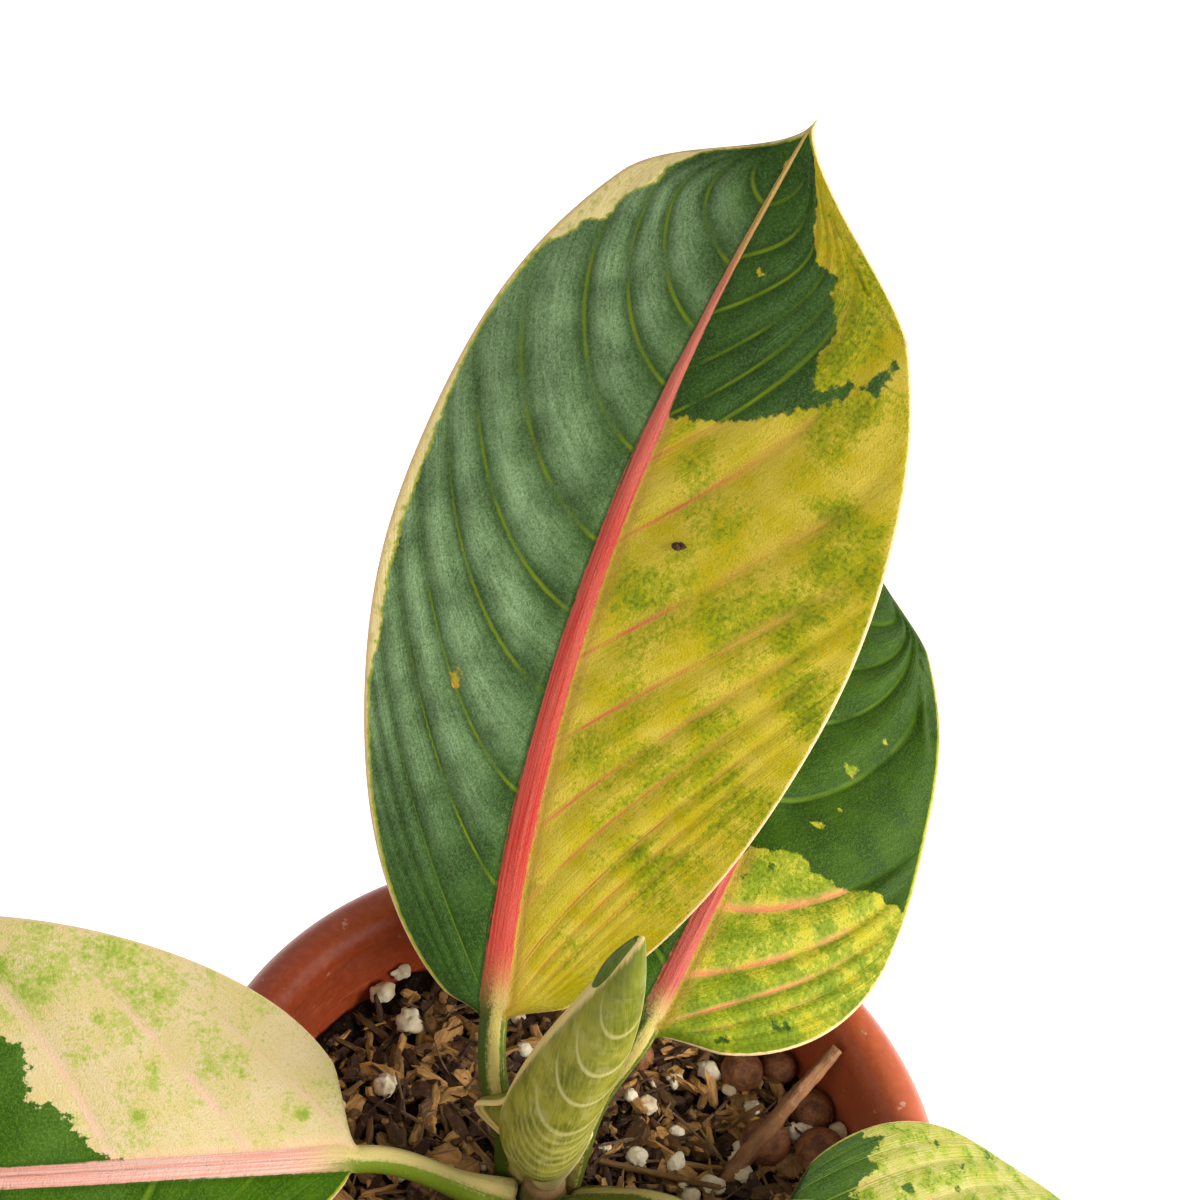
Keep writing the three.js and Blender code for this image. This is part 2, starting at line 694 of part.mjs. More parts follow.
// The newest leaf keeps its full foot, and each older one is trimmed clear of the newer ones.
const caneSpace = makeCane(GAP);
const newestFirst = ["leaf_back", "leaf_left", "leaf_right", "leaf_front_right", "leaf_back_right"];
const leafSolids = { leaf_new: whole(makeRolledLeaf().subtract(caneSpace)) };
let taken = caneSpace.add(makeRolledLeaf());
for (const name of newestFirst) {
  const leaf = LEAVES[name];
  const frames = midribFrames(leaf);
  const stalk = makeStalk(leaf, frames, 0);
  leafSolids[name] = whole(makeBlade(leaf, frames).add(stalk).subtract(taken));
  taken = taken.add(makeStalk(leaf, frames, GAP));
}
const twigSpace = makeTwig(GAP);
const mix = whole(makeMix().subtract(taken).subtract(twigSpace));

const group = new THREE.Group();
group.add(meshOf("pot", makePot(), POT_COLOUR, 0.45));
group.add(meshOf("soil", mix, MIX_COLOUR, 0.95));
group.add(meshOf("cane", makeCane(0), CANE_COLOUR, 0.6));
group.add(meshOf("twig", makeTwig(0), TWIG_COLOUR, 0.9));
for (const [name, shape] of Object.entries(leafSolids)) {
  group.add(meshOf(name, shape, LEAF_COLOURS[name], 0.45));
}

export default group;
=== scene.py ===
# %% [markdown]
# # A potted Chinese evergreen, built as surfaces
# The plant has five broad leaves on long stalks, one young leaf still rolled up, a short cane,
# a bed of bark and chips, and a plain moulded nursery pot. Its main forms come from a packed
# model that is loaded first, and each piece here is a finer version of one of them.
# Every shape is a function of two parameters, worked out with numpy as whole arrays, so a
# change of one number changes the whole surface and nothing has to be redrawn by hand.

import math

import bpy
import numpy as np
from mathutils import Matrix, Vector


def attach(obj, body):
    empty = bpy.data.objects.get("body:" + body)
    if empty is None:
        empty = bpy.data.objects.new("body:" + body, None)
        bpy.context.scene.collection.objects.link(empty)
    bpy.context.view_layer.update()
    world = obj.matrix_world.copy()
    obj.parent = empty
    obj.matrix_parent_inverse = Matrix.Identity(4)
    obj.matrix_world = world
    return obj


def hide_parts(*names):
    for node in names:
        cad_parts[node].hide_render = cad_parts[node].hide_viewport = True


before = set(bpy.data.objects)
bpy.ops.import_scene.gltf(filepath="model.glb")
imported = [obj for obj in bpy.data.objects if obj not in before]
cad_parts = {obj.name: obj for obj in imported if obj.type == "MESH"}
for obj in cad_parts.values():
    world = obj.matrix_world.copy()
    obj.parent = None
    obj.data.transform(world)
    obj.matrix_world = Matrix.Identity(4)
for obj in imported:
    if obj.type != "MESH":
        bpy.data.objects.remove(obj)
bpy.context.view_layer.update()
MM = 0.001
print("nodes:", ", ".join(sorted(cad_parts)))

# %% [markdown]
# ## The camera
# The photograph looks steeply down on the plant, a little rolled. A camera could be aimed with a
# tracking constraint, but a roll is easier to state as three axes: right, up and backwards.

# %% Place the camera
CAMERA_PLACE = Vector((-12.1, -275.7, 513.0)) * MM
CAMERA_PITCH = math.radians(48)
CAMERA_ROLL = math.radians(12)
LENS, SENSOR = 108, 36
forward = Vector((0, math.cos(CAMERA_PITCH), -math.sin(CAMERA_PITCH)))
level_up = Vector((0, math.sin(CAMERA_PITCH), math.cos(CAMERA_PITCH)))
level_right = Vector((1, 0, 0))
right = math.cos(CAMERA_ROLL) * level_right + math.sin(CAMERA_ROLL) * level_up
up = math.cos(CAMERA_ROLL) * level_up - math.sin(CAMERA_ROLL) * level_right
camera_data = bpy.data.cameras.new("camera")
camera_data.lens, camera_data.sensor_width = LENS, SENSOR
camera_data.clip_start, camera_data.clip_end = 0.01, 20
camera = bpy.data.objects.new("camera", camera_data)
bpy.context.collection.objects.link(camera)
axes = Matrix((right, up, -forward)).transposed()
camera.matrix_world = Matrix.Translation(CAMERA_PLACE) @ axes.to_4x4()
bpy.context.scene.camera = camera
print("camera at", [round(v, 3) for v in camera.location])

# %% [markdown]
# ## From arrays to a mesh
# All pieces share one way into Blender. A grid of points becomes four-cornered faces, and points
# that fall on one spot are welded, so poles and seams are closed. bmesh could merge them one by
# one, but numpy's `unique` does it for the whole surface, and `foreach_set` hands over whole arrays.


# %% Turn a grid of points into faces
def grid_faces(rows, columns, closed=True):
    """Faces between neighbours of a grid; closed joins its last column to its first."""
    i, j = np.meshgrid(np.arange(rows - 1), np.arange(columns if closed else columns - 1), indexing="ij")
    here, there, beside = i * columns, (i + 1) * columns, (j + 1) % columns
    return np.stack([here + j, here + beside, there + beside, there + j], -1).reshape(-1, 4)


def join(parts):
    """Several pairs of points and faces become one: later faces count on from earlier points."""
    points = [np.reshape(places, (-1, 3)) for places, _ in parts]
    starts = np.cumsum([0] + [len(places) for places in points[:-1]])
    return np.vstack(points), np.vstack([faces + start for start, (_, faces) in zip(starts, parts)])


def copies(faces, count, size):
    """The faces of one small shape, again for each of `count` shapes of `size` points."""
    return (faces + np.arange(count)[:, None, None] * size).reshape(-1, 4)


print("a closed grid of 3 by 8 points has", len(grid_faces(3, 8)), "faces")


# %% Weld points that share a spot
WELD_DIGITS = 4


def weld(points, faces):
    """Points on one spot become one; a face that lost a corner becomes a triangle or goes.

    Returns the first point on each spot, each face's corners, and which corners count."""
    rounded = np.round(points, WELD_DIGITS)
    _, first, back = np.unique(rounded, axis=0, return_index=True, return_inverse=True)
    corners = back.reshape(-1)[faces]
    kept = corners != np.roll(corners, 1, axis=1)
    whole = kept.sum(1) >= 3
    return first, corners[whole], kept[whole]


cone = np.array([[0, 0, 1]] * 4 + [[1, 0, 0], [0, 1, 0], [-1, 0, 0], [0, -1, 0]])
print("a four-sided cone keeps", len(weld(cone, grid_faces(2, 4))[0]), "of its", len(cone), "points")


# %% Fill a mesh with whole arrays
def fill_mesh(mesh, places, corners, kept, facets):
    """Points in metres and the corners that count go in; how many triangles it makes comes back."""
    sides = kept.sum(1)
    mesh.vertices.add(len(places))
    mesh.vertices.foreach_set("co", places.astype(np.float32).ravel())
    mesh.loops.add(int(sides.sum()))
    mesh.loops.foreach_set("vertex_index", corners[kept].astype(np.int32))
    mesh.polygons.add(len(sides))
    mesh.polygons.foreach_set("loop_start", (np.cumsum(sides) - sides).astype(np.int32))
    mesh.polygons.foreach_set("use_smooth", np.full(len(sides), not facets))
    return int((sides - 2).sum())


def carry(mesh, key, value, first):
    """Gives each point one number, or three, that the material reads by name."""
    value = np.asarray(value, np.float32)
    if value.ndim > 1 and value.shape[-1] == 3:
        field = mesh.attributes.new(key, "FLOAT_VECTOR", "POINT")
        field.data.foreach_set("vector", value.reshape(-1, 3)[first].ravel())
    else:
        field = mesh.attributes.new(key, "FLOAT", "POINT")
        field.data.foreach_set("value", value.reshape(-1)[first])


trial = bpy.data.meshes.new("trial")
trial_first, *trial_faces = weld(cone, grid_faces(2, 4))
print("as a mesh it has", fill_mesh(trial, cone[trial_first] * MM, *trial_faces, True), "triangles")
bpy.data.meshes.remove(trial)


# %% Make a piece of the object
def make_piece(name, points, faces, finish, values=None, slot=None, stands_for=None, facets=False):
    """Puts a surface given in millimetres into a mesh object with its values and finish."""
    points = np.asarray(points, float).reshape(-1, 3)
    first, corners, kept = weld(points, faces)
    mesh = bpy.data.meshes.new(name)
    triangles = fill_mesh(mesh, points[first] * MM, corners, kept, facets)
    for key, value in (values or {}).items():
        carry(mesh, key, value, first)
    mesh.update(calc_edges=True)
    mesh.validate()
    mesh.materials.append(finish)
    piece = bpy.data.objects.new(name, mesh)
    bpy.context.collection.objects.link(piece)
    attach(piece, "root")
    if stands_for:
        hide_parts(stands_for)
    print(f"{name}: {len(first)} points, {triangles} triangles")


print("each piece rides on the one body, root")


# %% [markdown]
# ## Small formulas
# A few short formulas are used by every piece: a step with soft ends, a way between two values,
# a direction of length one, and a random relief. Blender's own noise would give the relief too,
# but a sum of waves works on whole arrays, and a seed makes it the same each run.


# %% Small formulas used all over
def smooth(value, low, high):
    """Rises from 0 at low to 1 at high, level at both ends: 3 t squared less 2 t cubed."""
    share = np.clip((value - low) / (high - low), 0, 1)
    return share * share * (3 - 2 * share)


def lerp(a, b, share):
    """The value a share of the way from a to b."""
    return a + (b - a) * share


def unit(vector):
    """The same direction with length one."""
    return vector / np.linalg.norm(vector, axis=-1, keepdims=True)


print("a quarter of the way up, the soft step is at", smooth(0.25, 0, 1))

# %% A soft random relief
BUMP_WAVES, ABOUT_A_TURN = 9, 6.28


def bumps(x, y, size, seed):
    """Relief of about one unit: nine waves of nearby sizes in random directions, added up."""
    draw = np.random.default_rng(seed)
    turns = draw.uniform(0, ABOUT_A_TURN, BUMP_WAVES)
    phases = draw.uniform(0, ABOUT_A_TURN, BUMP_WAVES)
    total = 0
    for step, (turn, phase) in enumerate(zip(turns, phases)):
        pace = ABOUT_A_TURN / size * (0.6 + 0.13 * step)
        total = total + np.sin(pace * (x * math.cos(turn) + y * math.sin(turn)) + phase)
    return total / 3


trial_line = bumps(np.linspace(0, 50, 200), 0, 4.2, 3)
print("along a line the relief goes from", trial_line.min().round(2), "to", trial_line.max().round(2))

# %% [markdown]
# ## A short way to write materials
# A material is a tree of nodes. It could be drawn in the shader editor, or written out in full,
# which is long and hard to follow. This small class has one method for each kind of node used,
# and each returns the node's output, so a finish reads from the base colour to the last detail.


# %% The finish builder
class Finish:
    """A material's node tree; a method adds nodes and returns the last one's output."""

    def __init__(self, name, **fixed):
        self.material = bpy.data.materials.new(name)
        self.material.use_nodes = True
        self.tree = self.material.node_tree
        self.shader = self.tree.nodes["Principled BSDF"]
        self.done(**fixed)

    def feed(self, socket, value):
        """Links an output to a socket, or sets the socket to a number or a colour."""
        if isinstance(value, bpy.types.NodeSocket):
            self.tree.links.new(value, socket)
        else:
            socket.default_value = (*value, 1) if socket.type == "RGBA" else value

    def add(self, kind, values=(), **settings):
        """Adds a node, changes its settings and feeds its sockets by name or number."""
        node = self.tree.nodes.new(kind)
        for key, value in settings.items():
            setattr(node, key, value)
        for socket, value in dict(values).items():
            self.feed(node.inputs[socket], value)
        return node

    def done(self, **sockets):
        """Feeds the shader: base_color=... stands for its Base Color socket."""
        named = {socket.name.lower().replace(" ", "_"): socket for socket in self.shader.inputs}
        for name, value in sockets.items():
            self.feed(named[name], value)
        return self.material

    def value(self, name):
        """A number that the points carry."""
        return self.add("ShaderNodeAttribute", attribute_name=name).outputs["Fac"]

    def vector(self, name):
        """Three numbers that the points carry."""
        return self.add("ShaderNodeAttribute", attribute_name=name).outputs["Vector"]

    def place(self):
        """The place on the object, in metres."""
        return self.add("ShaderNodeTexCoord").outputs["Object"]

    def math(self, operation, a, b=0.0, c=0.0):
        """One sum, product or other formula of up to three numbers."""
        return self.add("ShaderNodeMath", {0: a, 1: b, 2: c}, operation=operation).outputs[0]

    def step(self, value, low, high):
        """Rises from 0 at low to 1 at high, as `smooth` does."""
        values = {0: value, 1: low, 2: high}
        return self.add("ShaderNodeMapRange", values, interpolation_type="SMOOTHSTEP").outputs[0]

    def noise(self, vector, scale, detail=2.0, roughness=0.5):
        """Soft clouds from 0 to 1; more detail adds finer ones."""
        values = {"Vector": vector, "Scale": scale, "Detail": detail, "Roughness": roughness}
        return self.add("ShaderNodeTexNoise", values).outputs[0]

    def cells(self, vector, scale):
        """The distance to the nearest of many random points."""
        return self.add("ShaderNodeTexVoronoi", {"Vector": vector, "Scale": scale}).outputs[0]

    def stretch(self, vector, scale):
        """A map made longer or shorter along each of its axes."""
        return self.add("ShaderNodeMapping", {"Vector": vector, "Scale": scale}).outputs[0]

    def mix(self, share, a, b):
        """The colour a share of the way from a to b."""
        node = self.add("ShaderNodeMix", data_type="RGBA")
        for socket, value in ((0, share), (6, a), (7, b)):
            self.feed(node.inputs[socket], value)
        return node.outputs[2]

    def ramp(self, value, stops):
        """A run of colours, each given with its place from 0 to 1."""
        node = self.add("ShaderNodeValToRGB", {0: value})
        points = node.color_ramp.elements
        for _ in stops[2:]:
            points.new(0.5)
        for point, (position, colour) in zip(points, stops):
            point.position, point.color = position, (*colour, 1)
        return node.outputs[0]

    def bump(self, height, distance):
        """Turns a height into relief, `distance` metres for a height of 1."""
        return self.add("ShaderNodeBump", {"Height": height, "Distance": distance}).outputs[0]

    def times(self, a, b):
        """a times b."""
        return self.math("MULTIPLY", a, b)

    def scaled(self, value, by, plus):
        """value times by, plus plus."""
        return self.math("MULTIPLY_ADD", value, by, plus)

    def rest(self, share):
        """What a share leaves of one."""
        return self.math("SUBTRACT", 1.0, share)

    def below(self, value, low, high):
        """Falls from 1 at low to 0 at high."""
        return self.rest(self.step(value, low, high))

    def stir(self, value, noise, amount):
        """Shifts a value to and fro by a noise, counted from the noise's middle."""
        return self.scaled(self.math("SUBTRACT", noise, 0.5), amount, value)

    def tint(self, colour, towards, share, most):
        """Mixes a colour towards another by a share, of `most` at the fullest."""
        return self.mix(self.times(share, most), colour, towards)


print("the builder has", sum(not name.startswith("_") for name in vars(Finish)), "methods")

# %% [markdown]
# ## The pot
# The real pot is thin moulded plastic in a terracotta colour: a tapered cup with a collar, a
# rim rolled outwards, and a foot with drain holes. It could be spun with the Spin tool or the
# Screw modifier. A profile turned by numpy gives the same surface with the foot's holes let in.

# %% The pot's measurements
POT_HEIGHT, RIM_RADIUS, FOOT_RADIUS, POT_WALL = 94.3, 53.0, 37.5, 1.5
ROLL_WIDTH, ROLL_HEIGHT, COLLAR_HEIGHT, COLLAR_INSET = 7.9, 4.4, 13.0, 0.6
MOUTH_RADIUS, HEM_RADIUS = RIM_RADIUS - ROLL_WIDTH, RIM_RADIUS - COLLAR_INSET
ROLL_MIDDLE = (RIM_RADIUS - ROLL_WIDTH / 2, POT_HEIGHT - ROLL_HEIGHT)
HEM = ROLL_MIDDLE[1] - COLLAR_HEIGHT + ROLL_HEIGHT
FLOOR_TOP, CHANNEL_DEPTH = 4.5, 1.6
STANDING_RING, PAD_RADIUS = (31.1, 36.6), 11.7
HOLE_COUNT, HOLE_RADIUS, HOLE_CIRCLE, HOLE_BAND = 6, 3.2, 21.0, (16.2, 26.4)
POT_COLUMNS = 180


def mouth(height):
    """Inner radius of the pot: it widens evenly from 36 mm at the base to the mouth."""
    return lerp(FOOT_RADIUS - POT_WALL, MOUTH_RADIUS, height / ROLL_MIDDLE[1])


print("inner radius half way up:", round(mouth(POT_HEIGHT / 2), 1), "mm")


# %% Draw the pot's profile
def rim_arc(inset, start, end, steps):
    """Half an ellipse over the wall: the rim's roll, or its inner face where it is inset."""
    turn = np.radians(np.linspace(start, end, steps))
    across, high = ROLL_WIDTH / 2 - inset, ROLL_HEIGHT - inset
    x = ROLL_MIDDLE[0] + across * np.cos(turn)
    return np.stack([x, ROLL_MIDDLE[1] + high * np.sin(turn)], -1)


def ease(profile, spacing):
    """Adds points along the straight runs of a profile, so that none is longer than spacing."""
    profile = np.asarray(profile, float)
    length = np.linalg.norm(np.diff(profile, axis=0), axis=1)
    counts = np.maximum(np.ceil(length / spacing).astype(int), 1)
    pieces = [np.linspace(a, b, n, endpoint=False) for a, b, n in zip(profile, profile[1:], counts)]
    return np.vstack([*pieces, profile[-1:]])


def pot_profile():
    """Radius and height from the channel's outer side, up the outside, over the rim and down."""
    under = [[HOLE_BAND[1], CHANNEL_DEPTH], [29.6, CHANNEL_DEPTH], [29.9, 1.5], [30.8, 0.1]]
    foot = [[STANDING_RING[0], 0], [STANDING_RING[1], 0], [37.0, 0.12], [37.4, 0.5], [FOOT_RADIUS, 0.9]]
    wall = [[mouth(HEM) + POT_WALL, HEM]]
    inside = rim_arc(POT_WALL, 165, 15, 14)
    hem = [[HEM_RADIUS - back, HEM + high] for back, high in
           ((1.5, 0.75), (1.3, 0.2), (0.75, 0), (0.2, 0.2), (0, 0.75))]
    roll = rim_arc(0, 0, 180, 26)
    down = [[mouth(6.5), 6.5], [mouth(5.2) - 0.5, 5.2], [mouth(FLOOR_TOP) - 2, FLOOR_TOP]]
    return ease([*under, *foot, *wall, *inside, *hem, *roll, *down, [HOLE_BAND[1], FLOOR_TOP]], 3)


print("the pot's profile has", len(pot_profile()), "points")


# %% Turn a profile
def turned(profile, columns):
    """Each point of a profile of radius and height goes once round the z axis."""
    profile = np.asarray(profile, float)
    turn = np.linspace(0, 2 * np.pi, columns, endpoint=False)
    x, y = profile[:, :1] * np.cos(turn), profile[:, :1] * np.sin(turn)
    return np.stack([x, y, np.broadcast_to(profile[:, 1:2], x.shape)], -1)


print("a turned profile of 2 points in 6 columns:", turned([[1, 0], [1, 2]], 6).shape)

# %% [markdown]
# ## The drain holes
# Six round holes let water out through the floor. A Boolean modifier could cut them, but it
# leaves long thin faces. Instead the ring of floor that holds them is made of six sectors, and in
# each a grid runs from the sector's edge to the hole's edge, through the floor and back out.

# %% The floor between the drain holes
HOLE_ROWS = [0, 0.35, 0.65, 0.85, 1]
BAND_STEPS = 6


def sector_edge():
    """Points round one sector of the band: in turn its outer arc, a side, its inner arc, a side."""
    inner, outer = HOLE_BAND
    arc, half = POT_COLUMNS // HOLE_COUNT, np.pi / HOLE_COUNT
    sweep = np.linspace(-half, half, arc + 1)
    radial = np.linspace(inner, outer, BAND_STEPS + 1)
    radius = np.concatenate([np.full(arc, outer), radial[:0:-1], np.full(arc, inner), radial[:-1]])
    turn = np.concatenate([sweep[:-1], np.full(BAND_STEPS, half), sweep[:0:-1], np.full(BAND_STEPS, -half)])
    return np.stack([radius * np.cos(turn), radius * np.sin(turn)], -1)


def holed_band():
    """The rows go from the sector's edge to the hole's, each point straight towards the hole's
    middle, first at the channel's depth, then back along the floor's top."""
    edge = sector_edge()
    ring = [HOLE_CIRCLE, 0] + unit(edge - [HOLE_CIRCLE, 0]) * HOLE_RADIUS
    share = np.array([*HOLE_ROWS, *HOLE_ROWS[::-1]])
    flat = lerp(edge[None], ring[None], share[:, None, None])
    high = np.repeat([CHANNEL_DEPTH, FLOOR_TOP], len(HOLE_ROWS))[:, None, None]
    grid = np.concatenate([flat, np.broadcast_to(high, (*flat.shape[:2], 1))], -1)
    parts = []
    for a in np.pi / HOLE_COUNT * (2 * np.arange(HOLE_COUNT) + 1):
        spin = np.array([[math.cos(a), math.sin(a), 0], [-math.sin(a), math.cos(a), 0], [0, 0, 1]])
        parts.append((grid @ spin, grid_faces(len(share), len(edge))[:, ::-1]))
    return join(parts)


print("points round one drain hole:", len(sector_edge()))

# %% [markdown]
# ## The pot's plastic
# Nursery plastic is dyed through, matte, and a little mottled, with fine scuffs and pale specks.
# It could be one colour with a roughness, but that looks like a computer's plastic. One noise
# gives the broad tone, a stretched one the scuffs, and a painted highlight pales the +x side,
# which the key lamp lights.

# %% The pot's finish
PLASTIC = dict(dye=(0.31, 0.036, 0.006), warm=(0.39, 0.058, 0.011), grain=(0.43, 0.072, 0.016),
               faded=(0.46, 0.12, 0.045), scuff=(0.55, 0.24, 0.13), speck=(0.62, 0.40, 0.27))
# Where the painted highlight starts and is full, in metres along +x, the key lamp's side.
HIGHLIGHT_FROM, HIGHLIGHT_TO = 0.015, 0.05


def terracotta_plastic():
    """Two tones in clouds, grain, a painted highlight towards +x, level scuffs and small specks."""
    f = Finish("terracotta_plastic", sheen_weight=0.16, sheen_roughness=0.4)
    place = f.place()
    grain = f.noise(place, 900, 3, 0.6)
    colour = f.mix(f.noise(place, 45, 3, 0.6), PLASTIC["dye"], PLASTIC["warm"])
    colour = f.mix(f.step(grain, 0.35, 0.75), colour, PLASTIC["grain"])
    east = f.add("ShaderNodeSeparateXYZ", {0: place}).outputs[0]
    # Painted highlight: the plastic is mixed paler towards +x, where the key lamp falls.
    colour = f.tint(colour, PLASTIC["faded"], f.step(east, HIGHLIGHT_FROM, HIGHLIGHT_TO), 0.5)
    scuffs = f.noise(f.stretch(place, (90, 90, 1500)), 1, 2, 0.6)
    colour = f.tint(colour, PLASTIC["scuff"], f.step(scuffs, 0.66, 0.76), 0.35)
    specks = f.noise(place, 620, 2, 0.5)
    colour = f.tint(colour, PLASTIC["speck"], f.step(specks, 0.70, 0.76), 0.5)
    rough = f.math("ADD", f.times(grain, 0.18), 0.28)
    return f.done(base_color=colour, roughness=rough, normal=f.bump(grain, 0.00006))


print("tones in the plastic:", ", ".join(PLASTIC))


# %% Build the pot
def build_pot():
    """The pad below, the shell, the floor's middle and the holed band, joined along their edges."""
    pad = [[0, 0], [6, 0], [PAD_RADIUS, 0], [12.1, 0.1], [13.1, 1.5], [13.5, 1.6],
           [HOLE_BAND[0], CHANNEL_DEPTH]]
    floor = [[HOLE_BAND[0], FLOOR_TOP], [8, FLOOR_TOP], [0, FLOOR_TOP]]
    profiles = (pad, pot_profile(), floor)
    parts = [(turned(p, POT_COLUMNS), grid_faces(len(p), POT_COLUMNS)) for p in profiles]
    points, faces = join([*parts, holed_band()])
    make_piece("pot_shell", points, faces, terracotta_plastic(), slot="terracotta_plastic", stands_for="pot")
    return points


pot_points = build_pot()
print("the pot is", np.ptp(pot_points, axis=0).round(1), "mm")

# %% [markdown]
# ## The leaves' shape
# A leaf is one closed skin. It starts as the round stalk at the cane, and where the blade begins
# the stalk goes on as the midrib under it. So one loop of points is carried along one path: on the
# stalk the loop is a grooved circle, on the blade it opens into a thin, wide section. A modelled
# plane with a Solidify modifier would be quicker, but its stalk would only butt against it.

# %% The leaves' measurements
CANE_FOOT, CANE_RADIUS, CANE_TOP = (-2.8, -1.0, 48.0), 4.4, 87.5
STALK_RADIUS, SHEATH_RADIUS, SHEATH_SHARE, SHEATH_GAP = 1.9, 2.9, 0.45, 0.6
BLADE_THICKNESS, MARGIN_THICKNESS, RIB_TOP = 0.9, 0.65, 0.3
HURRY = (0.5, 0.85)  # between these shares of the midrib, veins start to sweep further forward
LEAVES = {
    "leaf_back": dict(
        base=(-14.5, 3.7, 115), length=129, heading=(98.5, 55.8), rise=(46, 55.2),
        bank=(-11.8, -3.8), width=(30.7, 36.7), widest=0.56, point=0.15, full=(0.63, 0.56),
        fold=3.3, curl=-11.9, wave=0.7, waves=3, foot=(150, 83), pull=(12, 1, 12),
        rib=1.9, sweep=((0.06, 0.34), (0.36, 0.12)), quilt=0.36,
        veins=((0.0, 0.137, 0.24, 0.349, 0.437, 0.515, 0.615, 0.69, 0.755, 0.83, 0.9),
               (-0.01, 0.095, 0.19, 0.29, 0.385, 0.515, 0.605, 0.655, 0.71, 0.775, 0.84, 0.9)),
        hurry=((0.42, 0.85), (0.25, 0.85)),
    ),
    "leaf_back_right": dict(
        base=(6, 9.3, 113.7), length=106, heading=(76.5, 78), rise=(1.7, -12.7),
        bank=(11.3, 17.2), width=(29, 27.1), widest=0.31, point=0.1, full=(0.52, 0.51),
        fold=3, curl=-16.5, wave=0.6, waves=2.5, foot=(62, 81), pull=(24, 1, 5),
        rib=1.5, sweep=((0.1, 0.3), (0.1, 0.33)), quilt=0.6,
        veins=((-0.02, 0.09, 0.21, 0.33, 0.45, 0.57, 0.69, 0.8, 0.9),
               (-0.13, -0.02, 0.09, 0.22, 0.43, 0.6, 0.74, 0.86)),
        hurry=((0.5, 0.85), (0.22, 0.62)),
    ),
    "leaf_left": dict(
        base=(-27.7, -11.5, 100.4), length=117, heading=(205.5, 183), rise=(10.8, -20.6),
        bank=(-21.6, -18), width=(31.8, 35.9), widest=0.58, point=0.16, full=(0.91, 0.43),
        fold=9.3, curl=-6.3, wave=0.6, waves=2.5, foot=(205, 84), pull=(5, 8, 8),
        rib=1.75, sweep=((0.1, 0.2), (0.12, 0.16)), quilt=0.24,
        veins=((0.0, 0.12, 0.24, 0.36, 0.48, 0.6, 0.71, 0.81, 0.9),
               (-0.03, 0.13, 0.29, 0.42, 0.54, 0.66, 0.77, 0.88)),
        hurry=(HURRY, HURRY),
    ),
    "leaf_right": dict(
        base=(27.2, -11.4, 104.5), length=92, heading=(-11, 0), rise=(-1, -37.5),
        bank=(-4.5, -30.5), width=(33.3, 31), widest=0.32, point=0.16, full=(0.5, 0.5),
        fold=4.7, curl=-13.7, wave=0.7, waves=2.5, foot=(-68, 80), pull=(3, 7, 10),
        rib=1.5, sweep=((0.1, 0.25), (0.1, 0.25)), quilt=0.3,
        veins=(np.arange(8) * 0.12, np.arange(8) * 0.12), hurry=(HURRY, HURRY),
    ),
    "leaf_front_right": dict(
        base=(19.5, -16.5, 110), length=112, heading=(-38, -52), rise=(14, -16),
        bank=(-9, -11), width=(29.5, 32), widest=0.48, point=0.16, full=(0.47, 0.5),
        fold=7, curl=-11, wave=0.8, waves=2.5, foot=(-12, 84), pull=(7, 6, 9),
        rib=1.7, sweep=((0.1, 0.25), (0.1, 0.25)), quilt=0.3,
        veins=(np.arange(9) * 0.11, np.arange(9) * 0.11), hurry=(HURRY, HURRY),
    ),
}
for name, leaf in LEAVES.items():
    print(f"{name}: {leaf['length']} mm long, {sum(leaf['width']):.0f} mm wide")


# %% Walk along the midrib
def direction(heading, rise):
    """Unit vector for a heading round the z axis and a rise above the level, in degrees."""
    heading, rise = np.radians(heading), np.radians(rise)
    flat = np.cos(rise)
    return np.stack([flat * np.cos(heading), flat * np.sin(heading), np.sin(rise)], -1)


def midrib_frames(leaf, share):
    """Place, along, left and up at each share of the midrib.

    Heading and rise turn evenly from base to tip; each short step adds its direction times its
    length. Left starts level and is then banked about the midrib."""
    middle = (share[1:] + share[:-1]) / 2
    towards = direction(lerp(*leaf["heading"], middle), lerp(*leaf["rise"], middle))
    steps = towards * (leaf["length"] * np.diff(share))[:, None]
    place = np.vstack([leaf["base"], leaf["base"] + np.cumsum(steps, axis=0)])
    along = direction(lerp(*leaf["heading"], share), lerp(*leaf["rise"], share))
    level = unit(np.cross([0, 0, 1], along))
    bank = np.radians(lerp(*leaf["bank"], share))[:, None]
    left = level * np.cos(bank) + np.cross(along, level) * np.sin(bank)
    return place, along, left, np.cross(along, left)


tip = midrib_frames(LEAVES["leaf_back"], np.linspace(0, 1, 50))[0][-1]
print("the tall leaf's tip is at", tip.round(1), "mm")


# %% How wide the blade is and how thick its midrib
def half_width(leaf, side, share):
    """An egg: a power of 1 - x squared, x counted from the widest place, with a drawn-out tip."""
    widest = leaf["widest"]
    x = np.where(share < widest, (widest - share) / widest, (share - widest) / (1 - widest))
    tip = np.sin(np.minimum((1 - share) / leaf["point"], 1) * np.pi / 2) ** 1.2
    return leaf["width"][side] * np.maximum(1 - x * x, 0) ** leaf["full"][side] * tip


def rib_radius(share):
    """The midrib under the blade thins from the stalk's radius to 0.35 mm at the tip."""
    return lerp(0.35, STALK_RADIUS, np.maximum(1 - share, 0) ** 0.8)


def rib_width(leaf, share):
    """Half the width of the coloured midrib on top, which narrows faster past 0.6 of the way."""
    return leaf["rib"] * np.maximum(1 - share, 0) ** 0.45 * (1 - 0.45 * smooth(share, 0.6, 0.8)) + 0.05


print("midrib half way up the tall leaf:", round(2 * rib_width(LEAVES["leaf_back"], 0.5), 1), "mm wide")

